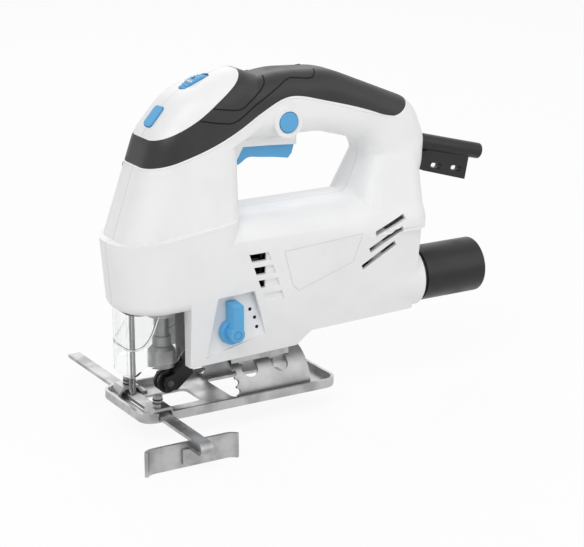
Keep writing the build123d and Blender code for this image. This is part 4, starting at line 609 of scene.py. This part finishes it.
# raised bead that the shell carries along the grip's lower edge
gripBead = {"line": [(46, 149.6), (26, 154), (6, 160.2), (-14, 168.2), (-30, 175.9), (-46, 182.6),
                     (-66, 179.6), (-109, 166.5), (-122, 163.4)], "below": 0.9, "radius": 0.6, "lift": -0.25,
            "noseAxis": 12, "noseTurns": range(0, 68, 3), "noseSlope": 0.16, "noseGap": 1.0, "castFrom": 100,
            "trials": 4}


# points at an even spacing along a smooth curve
def curved(points, spacing):
    path = []
    ends = [points[0]] + points + [points[-1]]
    for before, start, end, after in zip(ends, ends[1:], ends[2:], ends[3:]):
        before, start, end, after = (Vector(point) for point in (before, start, end, after))
        steps = max(1, round((end - start).length / spacing))
        for step in range(steps):
            share = step / steps
            path.append(0.5 * (2 * start + (end - before) * share
                               + (2 * before - 5 * start + 4 * end - after) * share ** 2
                               + (3 * start - before - 3 * end + after) * share ** 3))
    return path + [Vector(points[-1])]


# round the nose the bead is cast towards its axis, and behind it from the side
def beadPath(spec, surface, side):
    line = curved(spec["line"], pathSpacing)
    path = []
    for turn in spec["noseTurns"]:
        aim = Vector((cos(radians(turn)), side * sin(radians(turn)), 0))
        height = line[0].y
        for trial in range(spec["trials"]):
            axis = Vector(scaled((spec["noseAxis"], 0, height - spec["below"])))
            start = axis + aim * spec["castFrom"] * mm
            hit, normal, face, reach = surface.ray_cast(start, -aim)
            nearest = min(line, key=lambda point: abs(point.x - hit.x / mm))
            height = nearest.y - spec["noseSlope"] * max(0, hit.x / mm - line[0].x)
        path.append(hit + normal * spec["lift"] * mm)
    noseEnd = path[-1].x - spec["noseGap"] * mm
    rest = [(point.x, point.y - spec["below"]) for point in line if point.x * mm < noseEnd]
    return path + laidOn(surface, rest, side, spec["lift"])


for side, node in ((1, "housing_left"), (-1, "housing_right")):
    makePiece(f"gripBead_{node}", "tube", beadPath(gripBead, surfaceOf(node), side), True, "shell", "body",
              "shell", Radius=gripBead["radius"] * mm)

# shallow outline of the bare panel on the flanks, drawn as a grey line sunk into the shell: painted shade of
# the outline's groove
panelLine = {"outline": [(-37.5, 92.1), (-92.4, 95.5), (-87.3, 77.7), (-48.7, 65.6), (-44.6, 69.5),
                         (-37.5, 92.1)], "radius": 0.2, "lift": -0.05}
for side, node in ((1, "housing_left"), (-1, "housing_right")):
    makePiece(f"panelLine_{node}", "tube",
              laidOn(surfaceOf(node), panelLine["outline"], side, panelLine["lift"]), True, "joint", "body",
              "shell", Radius=panelLine["radius"] * mm)

# marks of the lever's settings on the recess floor
leverMarks = {"places": [(-17.0, 57.9), (-20.2, 52.3), (-21.6, 46.2)], "floor": 23.1,
              "radii": (1.1, 0.15, 1.1)}
makePiece("leverMarks", "studs", [scaled((x, leverMarks["floor"], z)) for x, z in leverMarks["places"]],
          False, "groove", "body", "shell", Size=scaled(leverMarks["radii"]))

# dial: ring mark, index line
dialMark = {"centre": (0.8, 180.1), "radius": 17.06, "ringAt": 20.0, "ring": 1.0, "ringSteps": 24,
            "wire": 0.16, "lineAt": 31.0, "line": (7.0, 0.5)}


def dialPoint(spec, angle, aside):
    turn = radians(angle)
    return scaled((spec["centre"][0] + spec["radius"] * sin(turn), aside,
                   spec["centre"][1] + spec["radius"] * cos(turn)))


ringAngle = degrees(dialMark["ring"] / dialMark["radius"])
makePiece("dialRing", "tube",
          [dialPoint(dialMark, dialMark["ringAt"] + ringAngle * along, dialMark["ring"] * aside)
           for along, aside in unitRing(dialMark["ringSteps"])],
          True, "groove", "dial", "control", Radius=dialMark["wire"] * mm)
makePiece("dialLine", "tube", [dialPoint(dialMark, dialMark["lineAt"], aside * dialMark["line"][0] / 2)
                               for aside in (-1, 0, 1)], True, "print", "dial", "control",
          Radius=dialMark["line"][1] * mm)

# scale on the fence bar
scale = {"from": -95, "to": 60, "step": 2, "longStep": 10, "edge": 40.4, "top": 4.1, "short": 2.2, "long": 4.0,
         "width": 0.25, "proud": 0.02}
shortPlaces = [place for place in range(scale["from"], scale["to"], scale["step"]) if place % scale["longStep"]]
longPlaces = [place for place in range(scale["from"], scale["to"]) if place % scale["longStep"] == 0]
for label, length, places in (("short", scale["short"], shortPlaces), ("long", scale["long"], longPlaces)):
    makePiece(f"barScale_{label}", "bars",
              [scaled((scale["edge"] + length / 2, place, scale["top"])) for place in places], False, "joint",
              "fence", "sole_steel", Size=scaled((length, scale["width"], 2 * scale["proud"])))

# fence bar: folded back under itself at its near end, down to a square tab welded to the fence plate
fenceBar = {"across": 44.0, "height": 3.1, "from": -99.0, "to": 81.0, "fold": 2.6, "foldSteps": 12,
            "face": 68.0, "width": 8.0, "thickness": 2.0}
foldTab = {"place": (49.1, 68.8, -6.1), "size": (8.4, 1.6, 8.8), "dimpleRadii": (1.7, 0.35, 1.7)}


def barPath(spec):
    path = [(spec["from"], spec["height"])]
    for step in range(spec["foldSteps"] + 1):
        turn = pi * step / spec["foldSteps"]
        path.append((spec["to"] - spec["fold"] + spec["fold"] * sin(turn),
                     spec["height"] - spec["fold"] * (1 - cos(turn))))
    path.append((spec["face"], spec["height"] - 2 * spec["fold"]))
    return [scaled((spec["across"], y, z)) for y, z in path]


bar = makePiece("fenceBar", "strip", barPath(fenceBar), True, "zinc", "fence", "sole_steel",
                Width=fenceBar["width"] * mm, Thickness=fenceBar["thickness"] * mm)
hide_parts("fence_bar")
tabAcross, tabAside, tabUp = foldTab["place"]
makePiece("foldTab", "bars", [scaled(foldTab["place"])], False, "zinc", "fence", "sole_steel",
          Size=scaled(foldTab["size"]))
makePiece("foldDimple", "studs", [scaled((tabAcross, tabAside + foldTab["size"][1] / 2, tabUp))], False,
          "zinc", "fence", "sole_steel", Size=scaled(foldTab["dimpleRadii"]))

# turned grooves round the heads of the fence screws, drawn as near-black wire rings: painted shade of the
# grooves
screwGrooves = {"screws": {"fence_screw_left": (45.0, 22.0, 14.6), "fence_screw_right": (43.0, -22.0, 12.6)},
                "below": (2.3, 4.5), "radius": 2.75, "steps": 24, "wire": 0.4}
screwRing = [(screwGrooves["radius"] * x, screwGrooves["radius"] * y)
             for x, y in unitRing(screwGrooves["steps"])]
for body, (across, aside, top) in screwGrooves["screws"].items():
    for number, below in enumerate(screwGrooves["below"]):
        makePiece(f"screwGroove_{body}_{number}", "tube",
                  [scaled((across + x, aside + y, top - below)) for x, y in screwRing], True, "groove", body,
                  "steel", Radius=screwGrooves["wire"] * mm)

# pendulum lever: a round hub that carries a deep, narrow finger block with a rounded foot
lever = {"pivot": (-2.9, 46.8), "hub": 7.6, "hubSteps": 64, "hubSpan": (23.4, 28.0),
         "blockSpan": (23.6, 34.0), "rear": -4.3, "front": 2.7, "tops": (19.2, 18.0), "foot": 4.9,
         "footSteps": 40, "bevel": 0.7, "bevelSteps": 3, "bevelOver": 60, "ring": 2.25, "ringSteps": 32,
         "wire": 0.28}


# closed slab between two outlines of the same length, given as x and z round the pivot
def addSlab(body, pivot, span, outlines):
    rims = [[body.verts.new(scaled((pivot[0] + x, aside, pivot[1] + z))) for x, z in outline]
            for aside, outline in zip(span, outlines)]
    count = len(rims[0])
    for index in range(count):
        after = (index + 1) % count
        body.faces.new((rims[0][index], rims[0][after], rims[1][after], rims[1][index]))
    for rim in rims:
        body.faces.new(rim)


def leverMesh(spec):
    body = bmesh.new()
    hub = [(spec["hub"] * x, spec["hub"] * z) for x, z in unitRing(spec["hubSteps"])[:-1]]
    addSlab(body, spec["pivot"], spec["hubSpan"], (hub, hub))
    foot = spec["foot"]
    first, last = pi - acos(-spec["rear"] / foot), 2 * pi + acos(spec["front"] / foot)
    turns = [first + (last - first) * step / spec["footSteps"] for step in range(spec["footSteps"] + 1)]
    curve = [(foot * cos(turn), foot * sin(turn)) for turn in turns]
    addSlab(body, spec["pivot"], spec["blockSpan"],
            [curve + [(spec["front"], top), (spec["rear"], top)] for top in spec["tops"]])
    bmesh.ops.recalc_face_normals(body, faces=body.faces)
    for face in body.faces:
        face.smooth = True
    return meshFrom("leverBlock", body)


leverBlock = addObject("leverBlock", leverMesh(lever))
leverBlock.data.materials.append(finishes["control"])
softEdges = leverBlock.modifiers.new("softEdges", "BEVEL")
softEdges.width = lever["bevel"] * mm
softEdges.segments = lever["bevelSteps"]
softEdges.limit_method = "ANGLE"
softEdges.angle_limit = radians(lever["bevelOver"])
softEdges.harden_normals = True
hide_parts("pendulum_lever")
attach(leverBlock, "lever")
leverAcross, leverUp = lever["pivot"]
# darker blue ring on the lever's face: painted shade of its engraved ring groove
makePiece("leverRing", "tube",
          [scaled((leverAcross + lever["ring"] * x, lever["blockSpan"][1], leverUp + lever["ring"] * z))
           for x, z in unitRing(lever["ringSteps"])],
          True, "ring", "lever", "control", Radius=lever["wire"] * mm)

# U shaped lip moulded round the front of the guard
guardLip = {"half": 16.6, "front": 57.4, "corner": 10.0, "cornerSteps": 8, "rear": 41.0, "low": 41.0,
            "high": 61.0, "rise": 5, "spacing": 1.0, "radius": 0.75}


def guardPath(spec):
    plan = [(spec["rear"], -spec["half"]), (spec["front"] - spec["corner"], -spec["half"])]
    for step in range(1, spec["cornerSteps"] + 1):
        turn = pi / 2 * step / spec["cornerSteps"]
        plan.append((spec["front"] - spec["corner"] + spec["corner"] * sin(turn),
                     -spec["half"] + spec["corner"] * (1 - cos(turn))))
    plan += [(x, -y) for x, y in reversed(plan)]
    plan = divided(plan, spec["spacing"])
    middle = (len(plan) - 1) / 2
    shares = [abs((index - middle) / middle) ** spec["rise"] for index in range(len(plan))]
    return [scaled((point.x, point.y, spec["low"] + (spec["high"] - spec["low"]) * share))
            for point, share in zip(plan, shares)]


makePiece("guardLip", "tube", guardPath(guardLip), True, "clear", "body", "clear",
          Radius=guardLip["radius"] * mm)
print("script pieces ready")

# plain pale floor and studio light, in metres
floorGap = 0.0002
stage = {"floorHeight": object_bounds()[0][2] - floorGap, "floorSize": 24.0, "floorColour": (0.9, 0.9, 0.9),
         "floorShade": (0.92, 0.92, 0.92), "floorDrift": 3.0, "floorRough": 0.9, "floorWhite": 0.9,
         "worldLight": 0.5, "lamps": [
             {"name": "keyLamp", "place": (0.75, 0.7, 1.35), "size": 1.1, "power": 11},
             {"name": "fillLamp", "place": (-0.9, 1.1, 0.7), "size": 1.3, "power": 4.5},
             {"name": "backLamp", "place": (-0.4, -1.2, 1.2), "size": 1.2, "power": 6}]}


# rays that see the white backdrop: the camera's own, and those off metal and through glass
def backdropRay(tree):
    path = tree.nodes.new("ShaderNodeLightPath")
    seen = mathNode(tree, "MAXIMUM", path.outputs["Is Camera Ray"], path.outputs["Is Transmission Ray"])
    return mathNode(tree, "MAXIMUM", seen, path.outputs["Is Glossy Ray"])


def buildStage(spec):
    mesh = bpy.data.meshes.new("studioFloor")
    half = spec["floorSize"] / 2
    corners = [(-half, -half), (half, -half), (half, half), (-half, half)]
    mesh.from_pydata([(x, y, spec["floorHeight"]) for x, y in corners], [], [(0, 1, 2, 3)])
    floor = addObject("studioFloor", mesh)
    material, tree, shader, place = blankMaterial("paleFloor")
    tone = mixColour(tree, noise(tree, place, spec["floorDrift"]), spec["floorColour"], spec["floorShade"])
    wire(tree, tone, shader.inputs["Base Color"])
    shader.inputs["Roughness"].default_value = spec["floorRough"]
    glow = tree.nodes.new("ShaderNodeEmission")
    blend = tree.nodes.new("ShaderNodeMixShader")
    wire(tree, mathNode(tree, "MULTIPLY", backdropRay(tree), spec["floorWhite"]), blend.inputs["Fac"])
    wire(tree, shader.outputs["BSDF"], blend.inputs[1])
    wire(tree, glow.outputs["Emission"], blend.inputs[2])
    wire(tree, blend.outputs["Shader"], tree.nodes["Material Output"].inputs["Surface"])
    mesh.materials.append(material)
    world = bpy.data.worlds.new("studioWorld")
    world.use_nodes = True
    scene.world = world
    tree = world.node_tree
    back = tree.nodes["Background"]
    wire(tree, ramp(tree, backdropRay(tree), 0, 1, spec["worldLight"], 1.0), back.inputs["Strength"])
    back.inputs["Color"].default_value = (1, 1, 1, 1)
    for lamp in spec["lamps"]:
        data = bpy.data.lights.new(lamp["name"], "AREA")
        data.size = lamp["size"]
        data.energy = lamp["power"]
        light = addObject(lamp["name"], data)
        light.location = lamp["place"]
        aim = Vector(view["target"]) - light.location
        light.rotation_euler = aim.to_track_quat("-Z", "Y").to_euler()


buildStage(stage)
print("stage ready")
